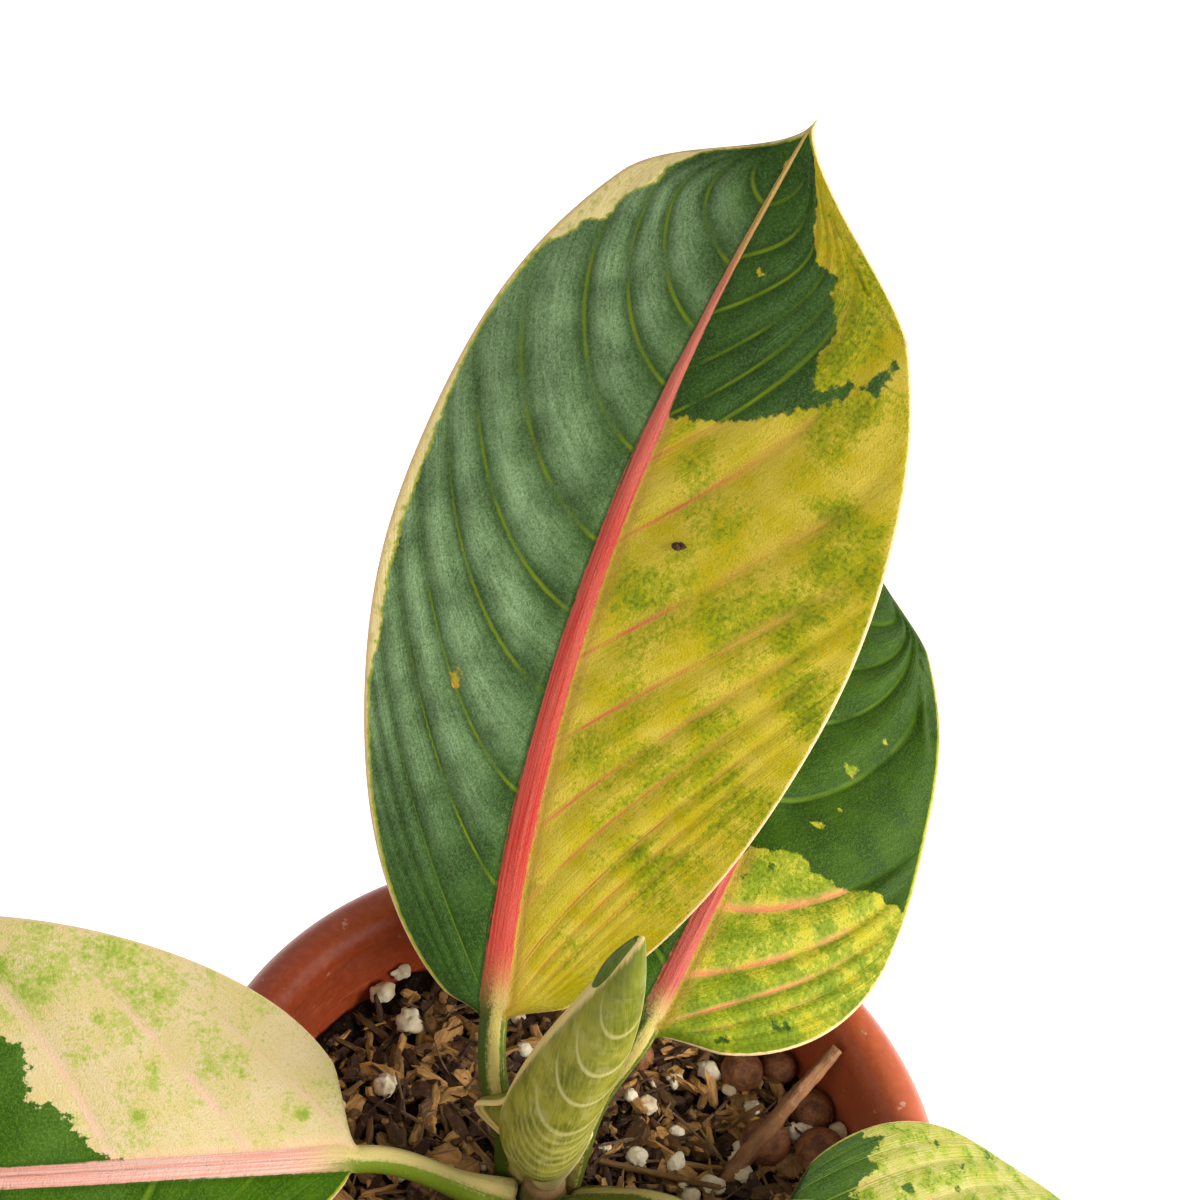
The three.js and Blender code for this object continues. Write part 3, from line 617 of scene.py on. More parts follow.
# %% [markdown]
# ## One loop of the skin
# A loop of points goes once round the leaf's section: across the top from the left margin to the
# right one, round that margin, back below, and round the left margin. Evenly spaced points would
# be coarse at the midrib, where the relief is finest, so they crowd towards it.

# %% The loop's points
SIDE_COLUMNS, MARGIN_STEPS = 52, 3
spread = np.linspace(-1, 1, 2 * SIDE_COLUMNS + 1)
spread = np.sign(spread) * np.abs(spread) ** 1.2
round_margin = np.radians(np.linspace(90, -90, MARGIN_STEPS + 2))[1:-1]
LOOP_ACROSS = np.concatenate([spread, np.ones(MARGIN_STEPS), spread[::-1], -np.ones(MARGIN_STEPS)])
LOOP_TURN = np.concatenate([np.full(len(spread), np.pi / 2), round_margin,
                            np.full(len(spread), -np.pi / 2), -round_margin])
LOOP = len(LOOP_ACROSS)
LOOP_ROUND = 2 * np.pi * (np.arange(LOOP) - SIDE_COLUMNS) / LOOP
print("points in a loop:", LOOP)


# %% How far the loop reaches
def blade_section(leaf, s):
    """Whether a point is on the right, its reach to the side in mm, and the half width there.

    The blade is never narrower than its midrib, and its margin is half a circle, the lip."""
    side = LOOP_ACROSS[None] > 0
    wide = np.where(side, half_width(leaf, 1, s), half_width(leaf, 0, s))
    wide = np.maximum(wide, rib_radius(s) * np.minimum((1 - s) * 60, 1) + 0.02)
    lip = np.minimum(MARGIN_THICKNESS / 2, wide * 0.4)
    return side, np.abs(LOOP_ACROSS) * (wide - lip) + lip * np.cos(LOOP_TURN), wide


reach = blade_section(LEAVES["leaf_back"], np.array([[0.5]]))[1]
print("half way up, the loop reaches", reach.max().round(1), "mm to the side")

# %% [markdown]
# ## The side veins
# The side veins leave the midrib at a slant and bend towards the tip, and the blade puffs up a
# little between them. They could be drawn one by one as curves. Instead one formula gives each
# point of the blade a number that is whole on a vein, and the relief and the finish both read it.

# %% Where the side veins run
FURTHEST_PULL, HALVINGS, VEINS_BELOW, VEINS_ABOVE, SLANT = 0.85, 24, 9, 5, 0.8


def pull_at(sweep, start, hurry):
    """How far towards the tip a vein has swept; veins that start further up sweep more."""
    return np.minimum(sweep * (1 + 2 * smooth(start, *hurry)), FURTHEST_PULL)


def vein_stations(leaf, side):
    """Where veins start on the midrib, with some more below the base and above the last one."""
    drawn = np.array(leaf["veins"][side])
    step = (drawn[-1] - drawn[0]) / (len(drawn) - 1)
    below = drawn[0] - step * np.arange(VEINS_BELOW, 0, -1)
    return np.concatenate([below, drawn, drawn[-1] + 0.07 * np.arange(1, VEINS_ABOVE + 1)])


def vein_phase(leaf, side, share, out):
    """A number that is whole on each side vein, and the gap in mm between the veins there.

    A vein from `start` passes start + pull (1 - start). Its start is found from a point's share
    by going half way to the value that the formula gives, again and again."""
    first, second = leaf["sweep"][side]
    sweep = first * out + second * out**2
    start = share + 0 * out
    for _ in range(HALVINGS):
        pull = pull_at(sweep, start, leaf["hurry"][side])
        start = (start + (share - pull) / (1 - pull)) / 2
    stations = vein_stations(leaf, side)
    phase = np.interp(start, stations, np.arange(len(stations)))
    gap = np.interp(start, stations[:-1] + np.diff(stations) / 2, np.diff(stations))
    pull = pull_at(sweep, start, leaf["hurry"][side])
    return phase, gap * leaf["length"] * np.maximum(1 - pull, 0.15) * SLANT


gap = vein_phase(LEAVES["leaf_back"], 0, np.array(0.5), np.array(0.5))[1]
print("veins in the middle of the tall leaf are", gap.round(1), "mm apart")


# %% The relief of the blade
def quilting(leaf, s, reach, wide, phase, gap):
    """A pillow between two veins, sine squared of the phase, and a bell-shaped groove on each.

    Both fade at the midrib, the margin, the base and the tip, and where veins are close."""
    rib = rib_width(leaf, s)
    open_blade = smooth(reach, rib, rib + 4) * smooth(wide - reach, 0, 5) * smooth(s, 0.01, 0.06)
    open_blade = open_blade * (1 - smooth(s, 0.9, 0.97))
    depth = leaf["quilt"] * np.minimum(gap / 8, 1) * (0.4 + 0.6 * smooth(s, 0.05, 0.3))
    from_vein = np.abs(phase - np.round(phase)) * gap
    pillow = depth * 1.3 * (np.sin(np.pi * phase) ** 2 - 0.5) * open_blade
    return pillow, -depth * 0.8 * np.exp(-((from_vein / 0.55) ** 2)) * open_blade


def midrib_ridge(leaf, s, reach, wide):
    """On top the midrib is a low bell-shaped ridge with a furrow along each side."""
    rib = rib_width(leaf, s)
    ridge = RIB_TOP * np.exp(-((reach / (0.62 * rib)) ** 2))
    ridge = ridge - 0.22 * np.exp(-(((reach - 1.15 * rib) / 0.5) ** 2))
    return ridge * np.minimum(wide / 6, 1) * (1 - smooth(s, 0.92, 0.99))


def section_height(leaf, s, reach, wide, phase, gap):
    """Height above the folded blade: half its thickness, the relief, and the midrib's keel below."""
    pillow, groove = quilting(leaf, s, reach, wide, phase, gap)
    ridge, radius, top = midrib_ridge(leaf, s, reach, wide), rib_radius(s), np.sin(LOOP_TURN)
    thick = lerp(BLADE_THICKNESS, MARGIN_THICKNESS, reach / wide) / 2 * np.minimum((1 - s) * 80, 1) ** 0.5
    keel = 0.5 + 0.5 * np.cos(np.pi * np.minimum(reach / (1.35 * radius), 1))
    keel = (2 * radius - RIB_TOP - BLADE_THICKNESS / 2) * keel
    relief = np.where(top > 0, groove + ridge, groove * 1.6)
    return top * thick + pillow + relief - keel * np.maximum(-top, 0)


ridge = midrib_ridge(LEAVES["leaf_back"], 0.5, np.linspace(0, 4, 50), 30)
print("the midrib stands", ridge.max().round(2), "mm above furrows of", -ridge.min().round(2), "mm")

# %% [markdown]
# ## Stalk and blade in one skin
# The blade is folded a little along its midrib, curled down at the sides and waved at the edge.
# A lattice could bend a flat blade, but the path already gives each loop its own left and up, so
# the fold is an angle, the curl adds to it towards the margin, and the wave is a sine.

# %% Carry the loop along the blade
STALK_STATIONS, BLADE_STATIONS, OPENING = 40, 172, 0.028


def blade_values(leaf, s, reach, wide, phase, gap):
    """What the finish reads: place along and across, shares, veins, margin, rib and stalk."""
    opened, off, side = smooth(s, 0, OPENING), np.sign(LOOP_ACROSS) * reach, np.sin(LOOP_ROUND)
    rib = reach / rib_width(leaf, s)
    stalk = np.maximum(1 - smooth(s, 0, 0.014), (1 - smooth(s, 0, 0.09)) * (1 - smooth(rib, 0.9, 1.15)))
    place = (s * leaf["length"], lerp(side * STALK_RADIUS, off, opened),
             np.cos(LOOP_ROUND) * STALK_RADIUS * (1 - opened))
    values = dict(share=s, across=off / wide, vein=phase, gap=gap, edge=wide - reach, rib=rib,
                  top=np.sin(LOOP_TURN), stalk=stalk, side=side)
    values = {key: np.broadcast_to(value, reach.shape) for key, value in values.items()}
    return dict(values, leaf=np.stack(np.broadcast_arrays(*place), -1))


def blade_skin(leaf):
    """Points and values of the blade: a circle at its base that opens into the blade's section."""
    share = (1 - np.cos(np.linspace(0, np.pi, BLADE_STATIONS + 1))) / 2
    place, _, left, up = midrib_frames(leaf, share)
    s = share[:, None]
    side, reach, wide = blade_section(leaf, s)
    out, radius = reach / wide, rib_radius(s)
    veins = [vein_phase(leaf, which, s, out) for which in (0, 1)]
    phase, gap = (np.where(side, on_right, on_left) for on_left, on_right in zip(*veins))
    angle = np.radians(leaf["fold"] + leaf["curl"] * out / 2)
    wave = np.sin(2 * np.pi * (leaf["waves"] * s + 0.37 * side)) * np.sin(np.pi * s)
    rise = reach * np.sin(angle) + leaf["wave"] * out**2 * wave
    rise = rise + section_height(leaf, s, reach, wide, phase, gap)
    opened = smooth(s, 0, OPENING)
    rise = lerp(RIB_TOP - radius + np.cos(LOOP_ROUND) * radius, rise, opened)
    sideways = lerp(-np.sin(LOOP_ROUND) * radius, -np.sign(LOOP_ACROSS) * reach * np.cos(angle), opened)
    points = place[:, None] + left[:, None] * sideways[..., None] + up[:, None] * rise[..., None]
    points[-1] = place[-1]
    return points, blade_values(leaf, s, reach, wide, phase, gap)


print("points in a blade:", blade_skin(LEAVES["leaf_back"])[0].shape)


# %% The stalk below the blade
def stalk_path(leaf):
    """A cubic Bezier curve from the cane to the blade's base, with its tangent and left at each
    point: it leaves the cane upwards and meets the blade in the midrib's own direction."""
    place, along, left, up = midrib_frames(leaf, np.array([0.0, 1e-4]))
    end = place[0] + up[0] * (RIB_TOP - STALK_RADIUS)
    turn, height = leaf["foot"]
    outward = direction(turn, 0)
    foot = np.array([CANE_FOOT[0], CANE_FOOT[1], height]) + outward * (CANE_RADIUS + SHEATH_GAP)
    first = foot + np.array([0, 0, leaf["pull"][0]]) + outward * leaf["pull"][1]
    last = end - along[0] * leaf["pull"][2]
    t = np.linspace(0, 1, STALK_STATIONS + 1)[:, None]
    path = (1 - t) ** 3 * foot + 3 * (1 - t) ** 2 * t * first + 3 * (1 - t) * t**2 * last + t**3 * end
    tangent = unit(3 * (1 - t) ** 2 * (first - foot) + 6 * (1 - t) * t * (last - first)
                   + 3 * t**2 * (end - last))
    return t, path, tangent, unit(left[0] - tangent * (tangent @ left[0])[:, None])


def stalk_radius(t):
    """It widens to a sheath at the cane, with a groove on top between two low wings."""
    sheath = 1 - smooth(t, 0, SHEATH_SHARE)
    turn = np.abs(np.angle(np.exp(1j * LOOP_ROUND)))[None]
    groove = np.exp(-((turn / 0.42) ** 2))
    wing = np.exp(-(((turn - 0.95) / 0.28) ** 2))
    shallow = (1 - smooth(t, 0.9, 1)) * 0.1
    radius = lerp(STALK_RADIUS, SHEATH_RADIUS, sheath)
    return radius * (1 - groove * (0.3 * sheath + shallow) + wing * 0.14 * sheath)


def stalk_skin(leaf):
    """Points and values of the stalk. Its first loop is drawn to a point, its last is the blade's."""
    t, path, tangent, sideways = stalk_path(leaf)
    upward = np.cross(tangent, sideways)
    circle = np.cos(LOOP_ROUND)[:, None] * upward[:, None] - np.sin(LOOP_ROUND)[:, None] * sideways[:, None]
    points = path[:, None] + circle * stalk_radius(t)[..., None]
    length = np.concatenate([[0], np.cumsum(np.linalg.norm(np.diff(path, axis=0), axis=1))])
    run, side, top = (length - length[-1])[:, None], np.sin(LOOP_ROUND), np.cos(LOOP_ROUND)
    values = dict(share=0, across=side, vein=0.5, gap=10, edge=6, rib=0, top=top, stalk=1, side=side)
    values = {key: np.broadcast_to(value, points.shape[:2]) for key, value in values.items()}
    place = np.broadcast_arrays(run, side * STALK_RADIUS, top * STALK_RADIUS)
    values["leaf"] = np.stack(place, -1)
    cap = np.broadcast_to(path[:1, None], (1, LOOP, 3))
    points = np.concatenate([cap, points[:-1]])
    return points, {key: np.concatenate([value[:1], value[:-1]]) for key, value in values.items()}


print("points in a stalk:", stalk_skin(LEAVES["leaf_back"])[0].shape)

# %% [markdown]
# ## Where each leaf is green
# The plant is variegated: each leaf divides into green and yellow parts in its own way. The
# parts could be painted by hand, but a few corner points for each patch, given as shares of the
# leaf, say the same and stay with the leaf if its shape is changed. Noise frays their edges.


# %% Distance to a patch drawn on a leaf
def inside(corners, x, y):
    """Distance in millimetres to a closed outline, positive inside, by the nearest side."""
    nearest, odd = np.full(x.shape, 1e9), np.zeros(x.shape, bool)
    for (ax, ay), (bx, by) in zip(corners, np.roll(corners, -1, axis=0)):
        dx, dy = bx - ax, by - ay
        t = np.clip(((x - ax) * dx + (y - ay) * dy) / (dx * dx + dy * dy + 1e-9), 0, 1)
        nearest = np.minimum(nearest, np.hypot(x - ax - t * dx, y - ay - t * dy))
        crosses = (ay > y) != (by > y)
        odd ^= crosses & (x < ax + (y - ay) / (by - ay + 1e-12) * dx)
    return np.where(odd, nearest, -nearest)


def patch(leaf, values, corners):
    """The same for corners given as share of the length and share across; left is negative.

    The leaf is laid out as a plain rectangle for this, as long and as wide as the leaf itself."""
    size = np.array([leaf["length"], leaf["width"][0]])
    return inside(np.asarray(corners) * size, values["share"] * size[0], values["across"] * size[1])


def dots(leaf, values, places):
    """Distance to the nearest of some round spots, positive inside; each has a size in mm."""
    best = np.full(values["share"].shape, -1e9)
    for share, across, size in places:
        wide = half_width(leaf, int(across > 0), np.array(share))
        away = np.hypot(values["leaf"][..., 0] - share * leaf["length"],
                        values["leaf"][..., 1] - across * wide)
        best = np.maximum(best, size - away)
    return best


unit_square = np.array([[0, 0], [1, 0], [1, 1], [0, 1]])
print("the middle of a unit square is", inside(unit_square, np.array(0.5), np.array(0.5)), "inside it")

# %% The patches of each leaf
ALL_GREEN = 6.0  # millimetres into the green, everywhere
PATCHES = {
    "leaf_back": dict(
        left_is_green=True,
        green=[(0.66, 0), (0.68, 0.2), (0.7, 0.33), (0.73, 0.5), (0.75, 0.6), (0.79, 0.75),
               (0.84, 0.95), (0.79, 0.84), (0.79, 0.7), (0.76, 0.56), (0.79, 0.54), (0.83, 0.6),
               (0.86, 0.55), (0.88, 0.6), (0.88, 0.46), (0.91, 0.46), (0.94, 0.6), (1, 1), (1, 0)],
        pale_dots=[(0.34, -0.51, 0.7), (0.56, -0.39, 0.35), (0.33, -0.5, 0.5), (0.84, 0.14, 0.5)],
    ),
    "leaf_back_right": dict(
        yellow=[(-0.1, 0.06), (-0.1, 1.2), (0.4, 1.2), (0.4, 0.9), (0.39, 0.75), (0.37, 0.6),
                (0.36, 0.42), (0.375, 0.3), (0.35, 0.17), (0.34, 0.06), (0.3, 0.02)],
        green_dots=[(0.105, 0.77, 0.55), (0.11, 0.8, 0.65), (0.12, 0.83, 0.55), (0.04, 0.73, 0.5),
                    (0.047, 0.76, 0.6), (0.33, 0.21, 0.5), (0.29, 0.11, 0.45)],
        pale_dots=[(0.57, 0.4, 1.1), (0.66, 0.55, 0.4), (0.58, 0.42, 0.8), (0.44, 0.34, 0.6),
                   (0.49, 0.42, 0.45)],
    ),
    "leaf_left": dict(
        yellow=[(-0.1, 0.02), (-0.1, 1.2), (0.9, 1.2), (0.8, 0.8), (0.6, 0.55), (0.5, 0.62),
                (0.42, 0.55), (0.39, 0.5), (0.38, 0.3), (0.35, 0.27), (0.32, 0.13), (0.29, 0.04),
                (0.27, 0.02), (0.1, 0.02)],
    ),
    "leaf_right": dict(
        green=[(-0.1, -1.2), (0.1, -1.2), (0.09, -0.9), (0.12, -0.9), (0.11, -0.7), (0.12, -0.6),
               (0.1, -0.4), (0.14, -0.2), (0.3, 0.3), (0.2, 0.8), (0.3, 1.2), (-0.1, 1.2)],
        green_dots=[(0.21, -0.86, 0.4), (0.31, -0.96, 0.6), (0.26, -0.78, 0.3), (0.26, -0.62, 0.3),
                    (0.18, -0.51, 0.6)],
    ),
    "leaf_front_right": dict(
        pale_dots=[(0.04, -0.97, 1.2), (0.3, 0.5, 0.8), (0.33, 0.56, 0.4), (0.5, -0.5, 1.1),
                   (0.51, -0.45, 0.7), (0.62, 0.3, 0.9), (0.7, -0.3, 0.5), (0.2, -0.4, 0.4)],
    ),
}


def green_zone(name, values):
    """Millimetres into the green (positive) or into the yellow (negative).

    It starts from the left half, or from all but a yellow patch, or from nothing; green patches
    and dots are joined to it by the larger distance, and pale dots cut out by the smaller one."""
    leaf, drawn = LEAVES[name], PATCHES[name]
    zone = np.full(values["share"].shape, -1e9 if "green" in drawn else ALL_GREEN)
    if "left_is_green" in drawn:
        zone = -values["leaf"][..., 1]
    if "yellow" in drawn:
        zone = -patch(leaf, values, drawn["yellow"])
    if "green" in drawn:
        zone = np.maximum(zone, patch(leaf, values, drawn["green"]))
    zone = np.maximum(zone, dots(leaf, values, drawn.get("green_dots", [])))
    return np.minimum(zone, -dots(leaf, values, drawn.get("pale_dots", [])))


print("patches and dots:", {name: ", ".join(drawn) for name, drawn in PATCHES.items()})

# %% [markdown]
# ## Margin, painted sheen and flecks
# Each leaf has a pale margin, a greyish sheen painted on its green, and green flecks in its
# yellow, and none of them is even. They could be masks painted on the mesh; here each is a short
# formula of the share along and across, so the material only has to read one number for each.

# %% The pale margin band
MARGIN_BAND, BROAD_BAND = 0.28, 1.3
PALE_SHOULDER = [(0.72, -1.2), (0.735, -1), (0.76, -0.96), (0.782, -0.89), (0.795, -0.91),
                 (0.805, -0.81), (0.833, -0.84), (0.863, -0.76), (0.875, -0.84), (0.895, -0.88),
                 (0.92, -1), (0.93, -1.2)]


def border(name, values):
    """Millimetres inside the band, and its width: it is broad only on the tall leaf's left."""
    share, on_left = values["share"], values["across"] < 0
    band = MARGIN_BAND + 0 * share
    if name != "leaf_back":
        return values["edge"] - band, band
    broad = smooth(share, 0.3, 0.36) * (1 - smooth(share, 0.52, 0.66))
    band = band + 1.1 * broad * on_left + 0.3 * smooth(share, 0.05, 0.2) * on_left
    shoulder = -patch(LEAVES[name], values, PALE_SHOULDER)
    inner = np.minimum(values["edge"] - band, shoulder)
    return inner, np.minimum(np.maximum(band, smooth(shoulder, 3, 1)), BROAD_BAND)


print("the margin band is", MARGIN_BAND, "to", BROAD_BAND, "mm wide")


# %% The painted sheen on the green
def bloom(name, values):
    """Share of a painted greyish sheen on the green: on the tall leaf's left, away from base and tip."""
    share, across = values["share"], values["across"]
    along = smooth(share, 0.08, 0.34) * (1 - smooth(share, 0.84, 0.95))
    if name == "leaf_back":
        return along * (0.9 * (across < 0) + 0.12) * (0.45 + 0.55 * smooth(np.abs(across), 0.1, 0.35))
    return along * (0.05 if name == "leaf_back_right" else 0.1)


half_way = dict(share=np.array([0.5, 0.5]), across=np.array([-0.5, 0.5]))
print("bloom on the tall leaf, left and right:", bloom("leaf_back", half_way).round(2))

# %% [markdown]
# ## The leaves' finish
# Up close a leaf has a base tone, mottling, small cells, pale side veins with a darker line
# beside them, a broad pink midrib with fine lengthwise streaks, a cream margin, and a paler
# underside. An image of a leaf would hold all of it at once; here each has its own short
# function, and they follow one another in that order.


# %% The values and noises of a leaf
class LeafFinish(Finish):
    """A finish that holds the numbers its points carry and the noises that several parts share."""

    def __init__(self, name, look):
        super().__init__(name, specular_ior_level=look["shine"])
        self.look, self.leaf = look, self.vector("leaf")
        self.vein, self.gap = self.value("vein"), self.value("gap")
        self.edge, self.rib = self.value("edge"), self.value("rib")
        self.coarse = self.noise(self.leaf, 0.16, 3, 0.55)
        self.fine = self.noise(self.leaf, 0.75, 3, 0.6)
        self.grit = self.noise(self.leaf, 1.7, 3, 0.65)
        self.cell = self.noise(self.leaf, 3.4, 2, 0.6)
        flow = {0: self.times(self.vein, 11.0), 1: self.times(self.edge, 0.16)}
        self.along_vein = self.add("ShaderNodeCombineXYZ", flow).outputs[0]
        self.fibre = self.noise(self.along_vein, 1.0, 3, 0.6)
        self.streak = self.noise(self.stretch(self.leaf, (0.05, 3.2, 3.2)), 1.0, 3, 0.6)


print("noises on a leaf: coarse, fine, grit, cell, fibre and streak")


# %% The green part
def green_part(f):
    """Deep green, lighter in clouds, grit and cells, under a painted sheen brightest between veins."""
    look = f.look
    green = f.mix(f.step(f.coarse, 0.3, 0.7), look["deep"], look["green"])
    green = f.tint(green, look["light"], f.step(f.grit, 0.42, 0.72), 0.45)
    green = f.tint(green, look["light"], f.step(f.cell, 0.45, 0.7), 0.35)
    grainy = f.math("ADD", f.step(f.grit, 0.3, 0.65), f.step(f.cell, 0.3, 0.7))
    dapple = f.scaled(f.step(f.fibre, 0.3, 0.68), 0.32, f.times(grainy, 0.26))
    # Painted highlight on the relief: bright on the crest just past each vein, darker before the next.
    past_vein = f.math("SUBTRACT", f.vein, f.math("FLOOR", f.vein))
    lit_crest = f.times(f.step(past_vein, 0.0, 0.4), f.below(past_vein, 0.45, 1.0))
    cloud = f.times(f.scaled(lit_crest, 0.6, 0.42), f.scaled(f.step(f.coarse, 0.3, 0.7), 0.6, 0.6))
    # Painted sheen: a greyish highlight mixed into the green's colour.
    bloom_here = f.times(f.value("bloom"), f.scaled(dapple, 0.85, 0.2))
    return f.mix(f.times(bloom_here, cloud), green, look["bloom"])


print("the green reads deep, green, light and bloom")


# %% The yellow part
def yellow_part(f):
    """Gold with paler clouds, under lime and moss flecks that crowd in patches and along veins."""
    look = f.look
    gold = f.mix(f.step(f.coarse, 0.32, 0.68), look["gold"], look["pale"])
    gold = f.tint(gold, look["pale"], f.step(f.fine, 0.45, 0.7), 0.5)
    crowding = f.stir(f.value("crowd"), f.noise(f.along_vein, 0.24, 2, 0.5), look["banded"])
    crowding = f.stir(crowding, f.noise(f.leaf, look["patch"], 2, 0.5), look["patchy"])
    fleck = f.math("ADD", f.times(f.math("ADD", f.fine, f.grit), 0.5), crowding)
    gold = f.tint(gold, look["lime"], f.step(fleck, 0.46, 0.6), 0.8)
    gold = f.tint(gold, look["moss"], f.step(fleck, 0.6, 0.7), 0.6)
    fleck = f.math("ADD", f.grit, f.times(crowding, 0.6))
    gold = f.tint(gold, look["dark_fleck"], f.step(fleck, look["fleck"], look["fleck"] + 0.1), 0.6)
    return f.tint(gold, look["lime"], f.step(f.cell, 0.48, 0.68), 0.45)


print("the yellow reads gold, pale, lime, moss and dark_fleck")


# %% The side veins' colours
def side_veins(f, green, gold):
    """A line on each vein and a band beside it, on both parts: on the green the band is painted
    shade, on the yellow a peach tint. They fade at the margin and where veins run close together.
    Near the midrib the yellow part has a blush."""
    look = f.look
    away = f.math("ABSOLUTE", f.math("SUBTRACT", f.vein, f.math("ROUND", f.vein)))
    away = f.times(away, f.gap)
    beside, line = f.below(away, 0.35, 1.5), f.below(away, 0.06, look["vein_width"])
    fade = f.times(f.step(f.edge, 3.0, 11.0), f.step(f.noise(f.leaf, 0.11, 2), 0.3, 0.6))
    fade = f.times(fade, f.step(f.gap, 1.5, 5.0))
    # Painted shade: the green darkens in a band beside each vein, as in a groove.
    green = f.tint(green, look["deep"], beside, f.times(fade, 0.45))
    green = f.tint(green, look["vein_green"], line, f.times(fade, 0.8))
    vein_gold = f.mix(f.below(f.rib, 4.0, 16.0), look["vein_out"], look["vein_in"])
    gold = f.tint(gold, look["vein_out"], beside, f.times(fade, 0.5))
    gold = f.tint(gold, vein_gold, line, f.times(fade, 0.85))
    blush = f.below(f.rib, 1.0, look["blush"])
    return green, f.tint(gold, look["peach"], blush, f.scaled(f.fine, 0.8, 0.1))


print("the veins read vein_green, vein_in, vein_out and peach")


# %% The margin's colours
def margin(f, colour, is_green):
    """A cream band, ragged inwards, with a pinkish rim and a thin yellow line along its inside."""
    look = f.look
    jagged = f.times(f.math("SUBTRACT", f.fine, 0.5), f.value("band"))
    inward = f.scaled(jagged, 1.5, f.value("border"))
    cream = f.tint(look["margin"], look["lime"], f.step(f.fine, 0.5, 0.68), 0.4)
    cream = f.tint(cream, look["rim"], f.below(f.edge, 0.3, 0.8), 0.55)
    colour = f.tint(colour, look["glow"], f.below(inward, 0.25, 0.6), f.times(is_green, 0.7))
    return f.mix(f.below(inward, -0.12, 0.2), colour, cream)


print("the margin reads margin, rim and glow")

# %% The midrib's colours
PALE_STREAK = (0.6, 0.2, 0.14)


def midrib(f, colour, is_green):
    """A run of colours from base to tip with pale and dark streaks, ragged at its edges, and
    painted shade along its sides on the green part."""
    look = f.look
    run = f.ramp(f.value("share"), look["rib_stops"])
    run = f.mix(f.step(f.streak, 0.42, 0.62), f.mix(look["streaks"], run, PALE_STREAK), run)
    run = f.tint(run, look["rib_line"], f.step(f.streak, 0.54, 0.7), look["lines"])
    ragged = f.stir(f.stir(f.rib, f.streak, 0.7), f.fine, 0.35)
    # Painted shade: the green darkens just beside the midrib, over its furrows.
    colour = f.tint(colour, look["deep"], f.below(ragged, 1.0, 1.6), f.times(is_green, 0.6))
    return f.mix(f.below(ragged, 0.86, 1.08), colour, run)


print("the midrib reads rib_stops, streaks, lines and rib_line")


# %% The underside and the stalk
def under_and_stalk(f, colour):
    """The underside is paler. Round the stalk the colour changes from its left to its right, at
    two soft edges that the streaks make ragged."""
    look = f.look
    under = f.mix(0.55, colour, look["under"])
    colour = f.mix(f.step(f.value("top"), -0.2, 0.2), under, colour)
    side = f.stir(f.stir(f.value("side"), f.streak, 1.1), f.grit, 0.7)
    first, second = look["stalk_from"], look["stalk_to"]
    stalk = f.mix(f.step(side, first - 0.22, first + 0.22), look["stalk_left"], look["stalk_right"])
    stalk = f.mix(f.step(side, second - 0.14, second + 0.14), stalk, look["stalk_edge"])
    stalk = f.tint(stalk, look["green"], f.step(f.streak, 0.5, 0.7), 0.3)
    return f.mix(f.value("stalk"), colour, stalk)


print("the stalk reads stalk_left, stalk_right and stalk_edge")


# %% The finish of a grown leaf
def leaf_finish(name, look):
    """Green and yellow meet at a frayed edge; margin, midrib, underside and stalk go over them."""
    f = LeafFinish(name, look)
    zone = f.stir(f.value("zone"), f.fine, 5.0 * look["fray"])
    is_green = f.step(f.stir(zone, f.coarse, 3.0 * look["fray"]), -0.25, 0.25)
    green, gold = side_veins(f, green_part(f), yellow_part(f))
    colour = margin(f, f.mix(is_green, gold, green), is_green)
    colour = under_and_stalk(f, midrib(f, colour, is_green))
    lines = f.times(f.fibre, f.rest(f.value("stalk")))
    height = f.math("ADD", f.times(f.cell, 0.6), f.times(lines, 0.8))
    rough = f.scaled(f.fine, 0.2, look["rough"])
    return f.done(base_color=colour, roughness=rough, normal=f.bump(height, 0.00026))


print("a leaf's finish is made in five steps")

# %% [markdown]
# ## The colours of each leaf
# All leaves share one set of colours, taken as the tall leaf's, and each other leaf states only
# what differs: cream instead of gold, a dark gloss, or a green midrib. Five separate materials
# would be five trees to keep alike. Colours are linear, so they look darker here than they are.

# %% The colours of each leaf
PINK_RIB = [(0.0, (0.5, 0.33, 0.09)), (0.05, (0.52, 0.028, 0.016)), (0.52, (0.52, 0.05, 0.034)),
            (0.7, (0.54, 0.12, 0.085)), (0.8, (0.56, 0.18, 0.11)), (0.88, (0.5, 0.34, 0.09)),
            (1.0, (0.42, 0.4, 0.08))]
DULL_RIB = [(0.0, (0.56, 0.26, 0.17)), (0.06, (0.37, 0.05, 0.04)), (1.0, (0.38, 0.09, 0.05))]
PALE_RIB = [(0.0, (0.6, 0.46, 0.25)), (0.1, (0.62, 0.46, 0.37)), (0.3, (0.62, 0.4, 0.33)),
            (1.0, (0.6, 0.28, 0.2))]
GREEN_RIB = [(0.0, (0.5, 0.46, 0.2)), (0.5, (0.6, 0.36, 0.28)), (1.0, (0.36, 0.36, 0.08))]
